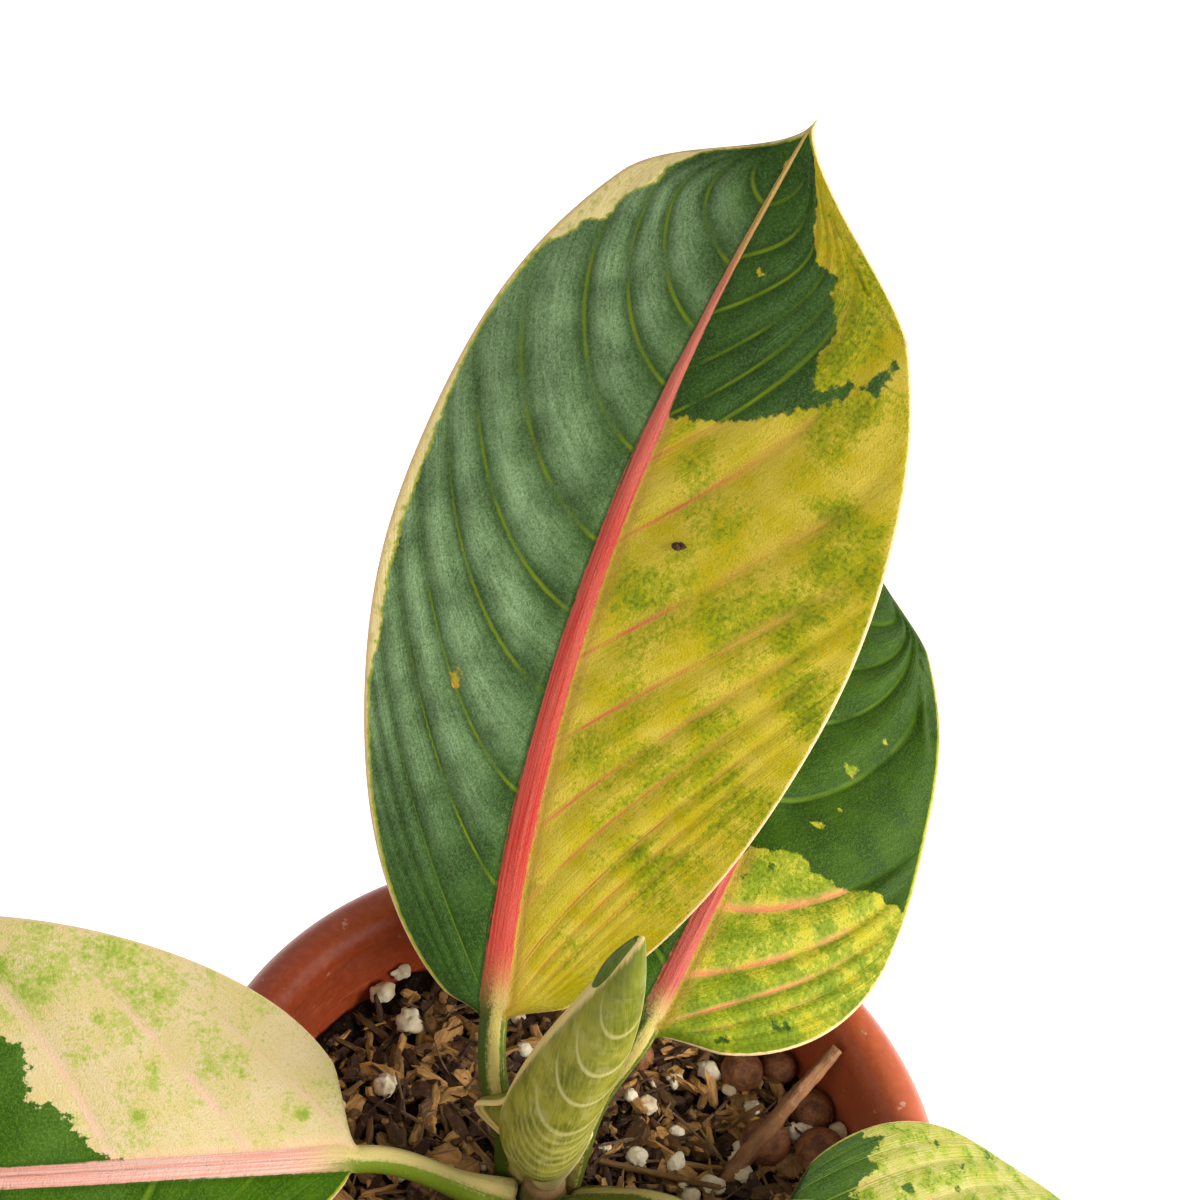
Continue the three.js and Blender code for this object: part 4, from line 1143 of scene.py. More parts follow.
# The sheen colour in each look is a painted highlight, not a colour of the leaf.
LOOK = dict(
    deep=(0.012, 0.042, 0.001), green=(0.028, 0.08, 0.003), light=(0.07, 0.135, 0.018),
    bloom=(0.25, 0.37, 0.16), gold=(0.43, 0.33, 0.001), pale=(0.54, 0.41, 0.045),
    lime=(0.27, 0.285, 0.001), moss=(0.14, 0.19, 0.001), dark_fleck=(0.045, 0.1, 0.002),
    fleck=0.62, lime_share=0.0, patch=0.085, patchy=1.1, banded=0.4, fray=0.5,
    vein_width=0.4, vein_green=(0.18, 0.25, 0.006), vein_in=(0.55, 0.11, 0.05),
    vein_out=(0.52, 0.32, 0.04), blush=3.0, peach=(0.5, 0.25, 0.05),
    margin=(0.8, 0.65, 0.28), rim=(0.7, 0.4, 0.24), glow=(0.42, 0.45, 0.02),
    rib_stops=PINK_RIB, streaks=0.34, lines=0.5, rib_line=(0.33, 0.02, 0.016),
    under=(0.25, 0.3, 0.12), stalk_left=(0.05, 0.078, 0.008), stalk_right=(0.45, 0.36, 0.1),
    stalk_edge=(0.09, 0.12, 0.014), stalk_from=-0.1, stalk_to=0.75, rough=0.32, shine=0.12,
)
LOOKS = {
    "leaf_back": dict(light=(0.08, 0.15, 0.03), bloom=(0.28, 0.41, 0.2)),
    "leaf_back_right": dict(
        deep=(0.01, 0.036, 0.001), green=(0.024, 0.064, 0.001), light=(0.065, 0.12, 0.002),
        bloom=(0.15, 0.24, 0.02), gold=(0.38, 0.33, 0.01), pale=(0.47, 0.41, 0.08),
        lime=(0.17, 0.225, 0.001), moss=(0.11, 0.17, 0.001), lime_share=0.09, patch=0.16,
        patchy=0.9, banded=0.2, vein_width=0.7, vein_green=(0.1, 0.17, 0.01),
        vein_in=(0.6, 0.14, 0.08), vein_out=(0.6, 0.3, 0.1), rib_stops=DULL_RIB,
        rib_line=(0.2, 0.02, 0.015), rough=0.26, shine=0.08,
    ),
    "leaf_left": dict(
        deep=(0.02, 0.065, 0.001), green=(0.035, 0.095, 0.001), light=(0.09, 0.17, 0.001),
        gold=(0.53, 0.41, 0.18), pale=(0.57, 0.44, 0.25), lime=(0.33, 0.37, 0.06),
        moss=(0.15, 0.25, 0.01), dark_fleck=(0.14, 0.24, 0.004), fleck=0.68, lime_share=-0.035,
        patch=0.11, patchy=0.6, banded=0.1, fray=1.0, vein_width=0.6, vein_green=(0.12, 0.2, 0.01),
        vein_in=(0.62, 0.38, 0.28), vein_out=(0.6, 0.41, 0.27), blush=2.0, peach=(0.66, 0.4, 0.26),
        margin=(0.64, 0.5, 0.25), rim=(0.64, 0.42, 0.24), rib_stops=PALE_RIB, streaks=0.7,
        lines=0.35, rib_line=(0.5, 0.22, 0.14), stalk_left=(0.13, 0.18, 0.012),
        stalk_right=(0.52, 0.42, 0.15), stalk_from=-0.3, stalk_to=1.3, shine=0.06,
    ),
    "leaf_right": dict(
        deep=(0.02, 0.06, 0.003), green=(0.04, 0.09, 0.004), light=(0.09, 0.15, 0.02),
        gold=(0.37, 0.34, 0.05), pale=(0.46, 0.42, 0.14), lime=(0.27, 0.32, 0.02),
        moss=(0.2, 0.28, 0.015), lime_share=0.05, patch=0.33, patchy=1.2, banded=0.1, fray=1.0,
        vein_out=(0.5, 0.45, 0.15), peach=(0.5, 0.42, 0.2), rib_stops=GREEN_RIB, lines=0.3,
        rib_line=(0.4, 0.2, 0.1),
    ),
    "leaf_front_right": dict(
        deep=(0.025, 0.07, 0.004), green=(0.06, 0.12, 0.01), light=(0.11, 0.18, 0.04),
        rib_stops=GREEN_RIB, lines=0.3, rib_line=(0.4, 0.2, 0.1), stalk_right=(0.5, 0.42, 0.15),
        stalk_from=-0.4, stalk_to=0.55,
    ),
}
print("values in a look:", len(LOOK))

# %% How thickly the flecks crowd
FLECKED_BAND = [(0.18, 0.74), (0.3, 0.66), (0.5, 0.6), (0.6, 0.95), (0.3, 1.0), (0.18, 0.95)]
CREAM_SPOTS = [(0.3, 0.63, 0.5), (0.24, 0.45, 0.5), (0.24, 0.38, 0.6), (0.26, 0.23, 0.5),
               (0.07, 0.31, 0.6), (0.14, 0.48, 0.3), (0.23, 0.78, 0.3), (0.41, 0.8, 0.8)]


def crowd(name, values):
    """How thickly green flecks crowd the yellow parts: few at the base, more towards the margin."""
    share, across = values["share"], np.abs(values["across"])
    more = {**LOOK, **LOOKS[name]}["lime_share"] + 0 * share
    if name == "leaf_back":
        more = more - 0.1 + 0.1 * smooth(share, 0.08, 0.3) + 0.05 * smooth(across, 0.15, 0.8)
        more = more - 0.05 * smooth(share, 0.5, 0.65)
    if name == "leaf_back_right":
        more = more + 0.12 * (1 - smooth(share, 0.05, 0.25))
    if name == "leaf_left":
        more = more + 0.09 * smooth(patch(LEAVES[name], values, FLECKED_BAND), -6, 3)
        more = more + 0.24 * smooth(dots(LEAVES[name], values, CREAM_SPOTS), -0.9, 0.3)
    return more


print("crowding on the tall leaf, left and right:", crowd("leaf_back", half_way).round(2))

# %% Build the five leaves
SLOTS = {"leaf_back": "leaf_half_green", "leaf_back_right": "leaf_dark_green",
         "leaf_left": "leaf_cream", "leaf_right": "leaf_pale_green",
         "leaf_front_right": "leaf_green"}
INSIDE_STALK = 5.0  # millimetres inside the margin, so that no band is drawn on the stalk


def build_leaf(name):
    """Stalk and blade share one grid; a last step works out the values that differ by leaf."""
    stalk, stalk_values = stalk_skin(LEAVES[name])
    blade, blade_read = blade_skin(LEAVES[name])
    points = np.concatenate([stalk, blade])
    values = {key: np.concatenate([stalk_values[key], value]) for key, value in blade_read.items()}
    inner, band = border(name, values)
    # The sheen value says where the painted highlight goes on each leaf.
    values.update(zone=green_zone(name, values), bloom=bloom(name, values), crowd=crowd(name, values),
                  band=band, border=np.where(values["stalk"] > 0.5, INSIDE_STALK, inner))
    finish = leaf_finish(SLOTS[name], {**LOOK, **LOOKS[name]})
    make_piece(name + "_skin", points, grid_faces(len(points), LOOP), finish, values, SLOTS[name], name)


for name in LEAVES:
    build_leaf(name)


# %% A place on the tall leaf
def on_blade(name, share, across):
    """The point of a leaf's upper face nearest to a share of its length and a share across."""
    points, values = blade_skin(LEAVES[name])
    away = np.abs(values["share"] - share) + np.abs(values["across"] - across) + (values["top"] < 0.5)
    return points.reshape(-1, 3)[np.argmin(away)]


CRUMB_PLACE = on_blade("leaf_back", 0.55, 0.26)
print("crumb on the tall leaf at", CRUMB_PLACE.round(1))

# %% [markdown]
# ## The rolled young leaf
# The newest leaf is still wound round itself, so it shows its olive underside and, along the
# open seam, its cream margin. A cone with a crease would pass from afar, but this is a tube that
# isn't closed: each point is set by its share of the height and its turn round the roll, and the
# sheet has an outer and an inner face.

# %% The roll's measurements
ROLL_FOOT, ROLL_TIP = np.array([-3.35, -4.9, 96.0]), np.array([1.5, -11.0, 160.2])
ROLL_BOW, BOW_SHARE, ROLL_RADIUS, FULLEST = -2.6, 0.25, 6.0, 0.21
NARROWING, SHOULDER, FRONT_TURN, BACK_TURN, SHEET = 0.93, 2.3, 190.0, 160.0, 0.7
FLAP_SHARE, FLAP_REACH, FLAP_SPREAD, FLAP_TURN = 0.1, 5.6, 0.062, 60
ROLL_LENGTH = np.linalg.norm(ROLL_TIP - ROLL_FOOT)
ROLL_ALONG = unit(ROLL_TIP - ROLL_FOOT)
ROLL_SIDE = unit(np.array([1.0, 0, 0]) - ROLL_ALONG * ROLL_ALONG[0])
ROLL_BACK = np.cross(ROLL_ALONG, ROLL_SIDE)
print("the roll is", ROLL_LENGTH.round(1), "mm long")


# %% The roll's surface
def roll_centre(share):
    """A straight line from foot to tip with a bow to the left, furthest at a quarter of its height."""
    most = BOW_SHARE * (1 - BOW_SHARE) ** 3
    bow = np.array([1, 0, 0]) * (ROLL_BOW * share * (1 - share) ** 3 / most)[..., None]
    return ROLL_FOOT + (ROLL_TIP - ROLL_FOOT) * share[..., None] + bow


def roll_point(share, turn, inner):
    """A radius that swells low down, with a rib at turn 0 and a flap turned out at the back edge.

    `inner` goes from 0 on the sheet's outer face to 1 on its inner one."""
    low = np.maximum(FULLEST - share, 0) / FULLEST
    high = np.maximum(share - FULLEST, 0) / (1 - FULLEST)
    swell = (1 - 0.96 * low**1.8) ** 0.62 * (1 - NARROWING * high**SHOULDER)
    rib = 0.7 * np.exp(-((turn / 16) ** 2)) * (1 - share)
    flap = FLAP_REACH * np.exp(-(((share - FLAP_SHARE) / FLAP_SPREAD) ** 2))
    flap = flap * smooth(-turn, BACK_TURN - FLAP_TURN, BACK_TURN)
    radius = ROLL_RADIUS * swell + rib + flap
    radius = radius - inner * np.minimum(SHEET, radius * 0.7)
    a = np.radians(-turn)
    across, back = (radius * np.cos(a))[..., None], (radius * np.sin(a))[..., None]
    return roll_centre(share) + ROLL_SIDE * across + ROLL_BACK * back


shares = np.linspace(0, 1, 5)
widths = np.linalg.norm(roll_point(shares, 0 * shares, 0 * shares) - roll_centre(shares), axis=-1)
print("its radius from foot to tip:", widths.round(1), "mm")


# %% A tube along a path
def tube(path, radii, columns, side):
    """A round section carried along a path, closed to a point at both ends."""
    tangent = unit(np.gradient(path, axis=0))
    side = unit(side - tangent * (tangent @ np.asarray(side))[:, None])
    other = np.cross(tangent, side)
    turn = np.linspace(0, 2 * np.pi, columns, endpoint=False)[None, :, None]
    ring = side[:, None] * np.cos(turn) + other[:, None] * np.sin(turn)
    points = path[:, None] + ring * np.asarray(radii)[:, None, None]
    ends = [np.broadcast_to(end[None, None], (1, columns, 3)) for end in (path[0], path[-1])]
    return np.concatenate([ends[0], points, ends[1]])


print("points in a short tube:", tube(np.array([[0, 0, 0], [0, 0, 1.0]]), [1, 1], 8, (1, 0, 0)).shape)

# %% [markdown]
# ## The roll's finish
# The outside is olive with pale arcs, which are the side veins seen from behind. They could be
# drawn as rings, but on the real roll they rise to the seam like hooks. So each point's height
# less a hook that depends on its turn says which two arcs it lies between.

# %% The rolled leaf's finish
OLIVE = dict(deep=(0.1, 0.11, 0.006), light=(0.27, 0.25, 0.025), fibre=(0.32, 0.29, 0.05),
             blotch=(0.36, 0.33, 0.1), arc=(0.5, 0.44, 0.17), rib=(0.42, 0.38, 0.14),
             tip=(0.1, 0.13, 0.008), inside=(0.05, 0.085, 0.004), inside_light=(0.1, 0.14, 0.008),
             seam=(0.66, 0.5, 0.18), stalk=(0.5, 0.42, 0.16))


def arc_lines(f, coarse, turn):
    """A soft line on each arc: not on the roll's left, not past the last arcs, fainter low down."""
    arc = f.value("vein")
    away = f.math("ABSOLUTE", f.math("SUBTRACT", arc, f.math("ROUND", arc)))
    away = f.stir(f.times(away, f.value("gap")), coarse, 0.3)
    line = f.times(f.below(away, 0.12, 0.7), f.below(turn, 120.0, 150.0))
    among = f.times(f.step(arc, 1.4, 1.6), f.below(arc, 12.4, 12.6))
    return f.times(f.times(line, among), f.scaled(f.step(arc, 8.0, 9.6), 0.5, 0.5))


def rolled_finish():
    """Olive in clouds and fibres, blotches, arcs, a pale midrib, and a cream margin at the seam."""
    f = Finish("leaf_young", roughness=0.45, specular_ior_level=0.15)
    leaf, turn = f.vector("leaf"), f.value("turn")
    coarse, fine = f.noise(leaf, 0.2, 3, 0.6), f.noise(f.stretch(leaf, (0.25, 2.4, 1)), 1, 3, 0.6)
    colour = f.mix(f.step(coarse, 0.3, 0.7), OLIVE["deep"], OLIVE["light"])
    colour = f.tint(colour, OLIVE["fibre"], f.step(fine, 0.4, 0.7), 0.6)
    colour = f.tint(colour, OLIVE["blotch"], f.step(f.noise(leaf, 0.33, 3, 0.6), 0.52, 0.66), 0.5)
    colour = f.tint(colour, OLIVE["arc"], arc_lines(f, coarse, turn), 0.7)
    colour = f.tint(colour, OLIVE["rib"], f.below(f.math("ABSOLUTE", turn), 5.0, 13.0), 0.7)
    colour = f.tint(colour, OLIVE["tip"], f.step(f.value("share"), 0.55, 1.0), 0.7)
    turned_in = f.mix(f.step(coarse, 0.35, 0.65), OLIVE["inside"], OLIVE["inside_light"])
    colour = f.mix(f.step(f.value("inner"), 0.4, 0.6), colour, turned_in)
    seam = f.below(f.stir(f.value("edge"), fine, 1.2), 0.9, 1.8)
    colour = f.mix(f.value("stalk"), f.mix(seam, colour, OLIVE["seam"]), OLIVE["stalk"])
    return f.done(base_color=colour, normal=f.bump(fine, 0.00012))


YOUNG_LEAF = rolled_finish()
print("tones in the rolled leaf:", ", ".join(OLIVE))

# %% The rolled sheet
ROLL_STATIONS, ROLL_COLUMNS = 120, 110
ARCS = np.array([-0.6, 0.06, 0.1, 0.13, 0.16, 0.2, 0.23, 0.26, 0.297, 0.335, 0.463, 0.577, 0.715, 0.85, 1.6])
EDGE_DEPTHS, EDGE_SWELLS = np.array([0.15, 0.5, 0.85]), np.array([1.5, 2.6, 1.5])


def roll_values(s, t, face):
    """What the finish reads on the sheet. The hooks lift the arcs as the square of the turn."""
    off_scale = ROLL_RADIUS * (1 - 0.9 * s**2)
    lobe = 1 + 5 * np.exp(-(((s - FLAP_SHARE) / 0.07) ** 2))
    edge = np.minimum(np.radians(FRONT_TURN - t), np.radians(t + BACK_TURN) * lobe) * off_scale
    hook = 0.16 * (np.maximum(t - 62, 0) / 88) ** 2 + 0.025 * (np.maximum(62 - t, 0) / 60) ** 2
    phase = np.interp(s - hook, ARCS, np.arange(len(ARCS)))
    gap = np.interp(s - hook, ARCS[:-1] + np.diff(ARCS) / 2, np.diff(ARCS)) * ROLL_LENGTH
    leaf = np.stack([s * ROLL_LENGTH, np.radians(t) * off_scale, face * 3], -1)
    return dict(leaf=leaf, share=s, turn=t, inner=face, edge=np.abs(edge), vein=phase, gap=gap, stalk=0 * s)


def roll_sheet():
    """The loop runs over the outer face, round the front edge, back inside and round the other."""
    share = (1 - np.cos(np.linspace(0, np.pi, ROLL_STATIONS))) / 2
    turn = np.linspace(-BACK_TURN, FRONT_TURN, ROLL_COLUMNS)
    turns = np.concatenate([turn, FRONT_TURN + EDGE_SWELLS, turn[::-1], -BACK_TURN - EDGE_SWELLS])
    inner = np.concatenate([0 * turn, EDGE_DEPTHS, 0 * turn + 1, 1 - EDGE_DEPTHS])
    s, t = np.meshgrid(share, turns, indexing="ij")
    face = np.broadcast_to(inner, s.shape)
    points = roll_point(s, t, face)
    points[0], points[-1] = points[0].mean(0), points[-1].mean(0)
    return points, roll_values(s, t, face)


print("points in the rolled sheet:", roll_sheet()[0].shape)

# %% Build the roll and its stalk
NECK_STATIONS, NECK_COLUMNS, NECK_FOOT, NECK_SHARE = 24, 28, 89.4, 0.06
NECK_RADII, CLEAR_OF_SEAM = [2.4, 1.8, 1.5, 0.9], 9.0


def roll_stalk():
    """A quadratic Bezier curve from the cane's top, through the roll's neck, to its fullest part."""
    foot = np.array([*CANE_FOOT[:2], NECK_FOOT])
    neck = roll_point(np.array(NECK_SHARE), np.array(0.0), np.array(0.0))
    end = roll_point(np.array(FULLEST), np.array(0.0), np.array(1.0))
    t = np.linspace(0, 1, NECK_STATIONS)[:, None]
    path = (1 - t) ** 2 * foot + 2 * (1 - t) * t * (0.4 * foot + 0.6 * neck) + t**2 * end
    return tube(path, np.interp(t[:, 0], [0, 0.33, 0.66, 1], NECK_RADII), NECK_COLUMNS, (1, 0, 0))


def build_roll():
    """The sheet and its stalk are one piece; the stalk's values say only that it is the stalk."""
    sheet, values = roll_sheet()
    stalk = roll_stalk()
    count = stalk.size // 3
    for key, value in values.items():
        flat = value.reshape(-1, *value.shape[2:])
        fill = {"stalk": 1.0, "edge": CLEAR_OF_SEAM}.get(key, 0.0)
        values[key] = np.concatenate([flat, np.full((count, *flat.shape[1:]), fill)])
    points, faces = join([(sheet, grid_faces(ROLL_STATIONS, sheet.shape[1])[:, ::-1]),
                          (stalk, grid_faces(len(stalk), NECK_COLUMNS))])
    make_piece("leaf_new_skin", points, faces, YOUNG_LEAF, values, "leaf_young", "leaf_new")


build_roll()

# %% [markdown]
# ## The roll's inner turn and its flap
# Beside the seam the next turn of the sheet shows, and low on the left the edge is turned out as
# a small lobe. Winding one sheet further would give both, but the turns would have to be thinner
# than they are to fit. So the inner turn is a smaller tube, and the flap is a thin closed lobe.

# %% Values for a small piece of the roll
LEAF_UNITS = 60  # millimetres of the finish's map for the roll's whole height


def plain_values(run, second, third, turn, inner, edge):
    """Values for a piece that no arc crosses: its share of the height and its own flat map."""
    one = np.ones(run.shape)
    return dict(leaf=np.stack([run * LEAF_UNITS, second, third], -1), share=run, turn=turn * one,
                inner=inner * one, edge=edge * one, vein=0.5 * one, gap=9 * one, stalk=0 * one)


def ended(share, columns):
    """Each share for a whole ring, with the first and last rings doubled for the closing ends."""
    return np.concatenate([share[:1], share, share[-1:]])[:, None] + np.zeros((1, columns))


print("rings of a closed piece of 3 stations:", len(ended(np.arange(3), 4)))

# %% Build the inner turn
CORE_FROM, CORE_TO, CORE_COLUMNS = 0.62, 0.992, 40
CORE_PUSH = np.array([-0.93, 0.3, 0.2])


def build_core():
    """A tube of 0.72 of the roll's radius, pushed out of its middle towards the left."""
    share = np.linspace(CORE_FROM, CORE_TO, 60)
    sides = [roll_point(share, 0 * share + turn, 0 * share) for turn in (90, -90)]
    size = ROLL_RADIUS * (1 - NARROWING * ((share - FULLEST) / (1 - FULLEST)) ** SHOULDER)
    push = 1.35 * np.sin(np.pi * smooth(share, CORE_FROM, 1.1))
    path = (sides[0] + sides[1]) / 2 + push[:, None] * CORE_PUSH
    points = tube(path, 0.72 * size * smooth(share, 0.6, 0.68), CORE_COLUMNS, (1, 0, 0))
    run = ended(share, CORE_COLUMNS)
    values = plain_values(run, points[..., 0], points[..., 1], turn=90, inner=1, edge=5)
    faces = grid_faces(len(points), CORE_COLUMNS)
    make_piece("leaf_new_core", points, faces, YOUNG_LEAF, values, "leaf_young")


build_core()

# %% Build the turned-out flap
FLAP_FROM, FLAP_TO, FLAP_STATIONS, FLAP_COLUMNS = 0.01, 0.19, 40, 24
FLAP_BULGE, FLAP_HALF = np.array([-0.35, -0.75, 0.45]), np.array([-0.2, -0.5, 0.5]) * 0.3


def build_flap():
    """From the roll's side to the sheet's edge, with a bulge of sine times sine, as two faces."""
    share, grid = np.linspace(FLAP_FROM, FLAP_TO, FLAP_STATIONS), np.linspace(0, 1, FLAP_COLUMNS)
    s, t = np.meshgrid(share, grid, indexing="ij")
    root = roll_point(s, 0 * s - 80, 0 * s + 0.6)
    tip = roll_point(s, 0 * s - 158, 0 * s + 0.3)
    bulge = 1.6 * np.sin(np.pi * t) * np.sin(np.pi * (s - FLAP_FROM) / FLAP_TO)
    face = lerp(root, tip, t[..., None]) + FLAP_BULGE * bulge[..., None]
    loop = np.concatenate([face + FLAP_HALF, (face - FLAP_HALF)[:, ::-1]], 1)
    ends = [np.broadcast_to(loop[row].mean(0), (1, 2 * FLAP_COLUMNS, 3)) for row in (0, -1)]
    loop = np.concatenate([ends[0], loop, ends[1]])
    edge = np.concatenate([1 - grid, 1 - grid[::-1]])[None] * 12 + np.zeros((len(loop), 1))
    run = ended(share, 2 * FLAP_COLUMNS)
    values = plain_values(run, edge * 3, 0 * edge + 1, turn=-100, inner=0, edge=edge)
    faces = grid_faces(len(loop), 2 * FLAP_COLUMNS)[:, ::-1]
    make_piece("leaf_new_flap", loop, faces, YOUNG_LEAF, values, "leaf_young")


build_flap()

# %% [markdown]
# ## The bed of bark and chips
# The plant grows in an airy mix: long chips of bark and husk, fibres, white perlite and a few
# round balls of fired clay. A flat disc with a picture would look painted. So the bed is a lumpy
# surface, and thousands of small closed shapes lie on it, all worked out in one set of arrays.

# %% The bed's surface
MIX_LEVEL, OFF_WALL, MOUND_WIDTH = 80.5, 0.4, 13.4
BED_RINGS, BED_COLUMNS = 90, 240


def mix_height(x, y):
    """A level with two gentle waves, and a low mound about the cane."""
    waves = np.sin(0.31 * x + 1) * np.cos(0.27 * y) + np.sin(0.13 * x - 0.19 * y)
    away = np.hypot(x - CANE_FOOT[0], y - CANE_FOOT[1]) / MOUND_WIDTH
    return MIX_LEVEL + 0.55 * waves + 1.4 * np.exp(-(away**2))


def bed_surface():
    """Rings from the middle out to the wall, then down the wall and in again below."""
    radius = np.linspace(0, 1, BED_RINGS) ** 0.9 * (mouth(MIX_LEVEL) - OFF_WALL)
    turn = np.linspace(0, 2 * np.pi, BED_COLUMNS, endpoint=False)
    r, a = np.meshgrid(radius, turn, indexing="ij")
    x, y = r * np.cos(a), r * np.sin(a)
    z = mix_height(x, y) - 1.0 + 0.5 * bumps(x, y, 4.2, 3) + 0.25 * bumps(x, y, 1.7, 4)
    z[-1] -= 0.6
    low = [[mouth(h) - OFF_WALL, h] for h in (78, 60, 40, 20, 8)] + [[mouth(5) - 2.6, 5], [0, 5]]
    points = np.concatenate([np.stack([x, y, z], -1), turned(low, BED_COLUMNS)])
    return points, grid_faces(len(points), BED_COLUMNS)[:, ::-1]


print("the mix is highest at the cane:", mix_height(*CANE_FOOT[:2]).round(1), "mm")

# %% The bed's finish
# The bed's near-black is partly the dark mix and partly painted shade for the gaps between the chips.
SOIL = dict(dark=(0.006, 0.003, 0.0015), light=(0.03, 0.015, 0.006), dust=(0.2, 0.12, 0.06))


def bed_finish():
    """Nearly black between the chips, dark mix and painted shade in one, in crumbs, with a little pale dust.
    """
    f = Finish("potting_mix", roughness=0.95, specular_ior_level=0.2)
    crumb, dust = f.noise(f.place(), 420, 5, 0.7), f.noise(f.place(), 1700, 3, 0.7)
    colour = f.mix(f.step(crumb, 0.35, 0.68), SOIL["dark"], SOIL["light"])
    colour = f.tint(colour, SOIL["dust"], f.step(dust, 0.55, 0.75), 0.5)
    return f.done(base_color=colour, normal=f.bump(f.math("ADD", crumb, dust), 0.0009))


make_piece("mix_bed", *bed_surface(), bed_finish(), None, "potting_mix", "soil")

# %% [markdown]
# ## Chips, crumbs and fibres
# Each chip is a small bar: a rounded box section that tapers to its ends, bends, and has its
# corners knocked about. A particle system could strew copies of one chip, but all would be alike.
# Here each has its own size, turn, bend and knocks, and still all come from a few array steps.


# %% Random places and turns
def scattered(count, seed, reach, clear):
    """Random places on the disc, none within `clear` of the cane."""
    draw = np.random.default_rng(seed)
    radius, turn = np.sqrt(draw.uniform(0, 1, count * 2)) * reach, draw.uniform(0, 2 * np.pi, count * 2)
    x, y = radius * np.cos(turn), radius * np.sin(turn)
    far = np.hypot(x - CANE_FOOT[0], y - CANE_FOOT[1]) > clear
    return x[far][:count], y[far][:count]


def turns(yaw, pitch, spin):
    """Rotation matrices: spin about the long axis, then pitch up, then yaw round."""
    cy, sy, cp, sp = np.cos(yaw), np.sin(yaw), np.cos(pitch), np.sin(pitch)
    cs, ss, zero, one = np.cos(spin), np.sin(spin), 0 * yaw, 1 + 0 * yaw
    yawed = np.stack([cy, -sy, zero, sy, cy, zero, zero, zero, one], -1).reshape(-1, 3, 3)
    pitched = np.stack([cp, zero, -sp, zero, one, zero, sp, zero, cp], -1).reshape(-1, 3, 3)
    spun = np.stack([one, zero, zero, zero, cs, -ss, zero, ss, cs], -1).reshape(-1, 3, 3)
    return yawed @ pitched @ spun


quarter = turns(np.array([np.pi / 2]), np.zeros(1), np.zeros(1))[0] @ [1, 0, 0]
print("x after a quarter yaw:", quarter.round(6))


# %% Many small bars at once
def bar(stations, columns, flat, blunt):
    """One bar of unit length and half width: rings along x, closed to a point at both ends."""
    along = np.linspace(-0.5, 0.5, stations)
    taper = np.clip(1 - np.abs(along * 2) ** flat, 0, 1) ** 0.5
    taper[[0, -1]] = blunt
    a = np.linspace(0, 2 * np.pi, columns, endpoint=False) + 0.3
    ring = np.stack([0 * a, np.cos(a), np.sin(a)], -1)
    ring = ring / np.abs(ring).max(1, keepdims=True) ** 0.55
    body = np.concatenate([[0], taper, [0]])[:, None, None] * ring[None]
    return np.concatenate([along[:1], along, along[-1:]]), ring, body


def shards(x, y, sizes, angles, seed, stations=5, columns=6, bend=0.0, rough=0.16, lift=0.0,
           flat=3.0, blunt=0.6):
    """Bars of many sizes, each knocked about by a random factor at every point but its ends."""
    draw, count = np.random.default_rng(seed), len(x)
    along, ring, body = bar(stations, columns, flat, blunt)
    knocks = draw.normal(1, rough, (count, *body.shape[:2]))
    knocks[:, [0, -1]] = 1
    body = body * knocks[..., None] * (sizes[:, None, None, :] / 2)
    shift = draw.normal(0, rough * 0.25, (count, 1, columns)) + along[None, :, None]
    shift[:, 0], shift[:, -1] = along[0], along[-1]
    long = sizes[:, None, None, 0]
    body[..., 0] = shift * long
    body[..., 2] += bend * draw.uniform(-1, 1, (count, 1, 1)) * long * (1 - 4 * along[None, :, None] ** 2)
    body = np.einsum("nij,nrcj->nrci", turns(*angles), body)
    points = body + np.stack([x, y, mix_height(x, y) + lift], -1)[:, None, None]
    faces = copies(grid_faces(len(along), columns), count, len(along) * columns)
    tone = np.broadcast_to(draw.uniform(0, 1, (count, 1, 1)), points.shape[:3])
    place = (along[None, :, None] * long, ring[None, None, :, 1] * 1.5, ring[None, None, :, 2] * 1.5)
    grain = np.stack(np.broadcast_arrays(*place), -1) + tone[..., None] * 97
    return points, faces, dict(tone=tone, grain=grain)


print("points in one bar:", bar(5, 6, 3.0, 0.6)[2].shape)

# %% [markdown]
# ## The bark's finish
# Bark and husk are fibrous, from nearly black to straw, and dusty. One finish with one grain
# serves chips, fibres and the twig: a stretched noise runs along each piece, and each piece's own
# tone picks its colour, so no two chips side by side match.

# %% The finish of bark and wood
BARK_DUST = (0.5, 0.33, 0.17)


def bark_finish(name, low, high, dark):
    """Each chip has its own tone from dark to light, with grain along its length and dust."""
    f = Finish(name, roughness=0.72, specular_ior_level=0.35)
    streak = f.noise(f.stretch(f.vector("grain"), (0.35, 1.6, 1.6)), 1, 4, 0.65)
    speck = f.noise(f.place(), 900, 3, 0.7)
    colour = f.mix(f.step(f.value("tone"), 0.2, 1.0), low, high)
    colour = f.tint(colour, dark, f.step(streak, 0.35, 0.7), 0.55)
    colour = f.tint(colour, BARK_DUST, f.step(speck, 0.55, 0.7), 0.25)
    return f.done(base_color=colour, normal=f.bump(f.math("ADD", streak, speck), 0.00025))


BARK = bark_finish("bark_chips", (0.05, 0.018, 0.005), (0.66, 0.34, 0.1), (0.026, 0.008, 0.002))
HUSK = bark_finish("husk_fibre", (0.1, 0.05, 0.018), (0.36, 0.22, 0.1), (0.05, 0.024, 0.009))
print("finishes so far:", len(bpy.data.materials))

# %% Lay the chips, crumbs and fibres
WALL_REACH = mouth(MIX_LEVEL)


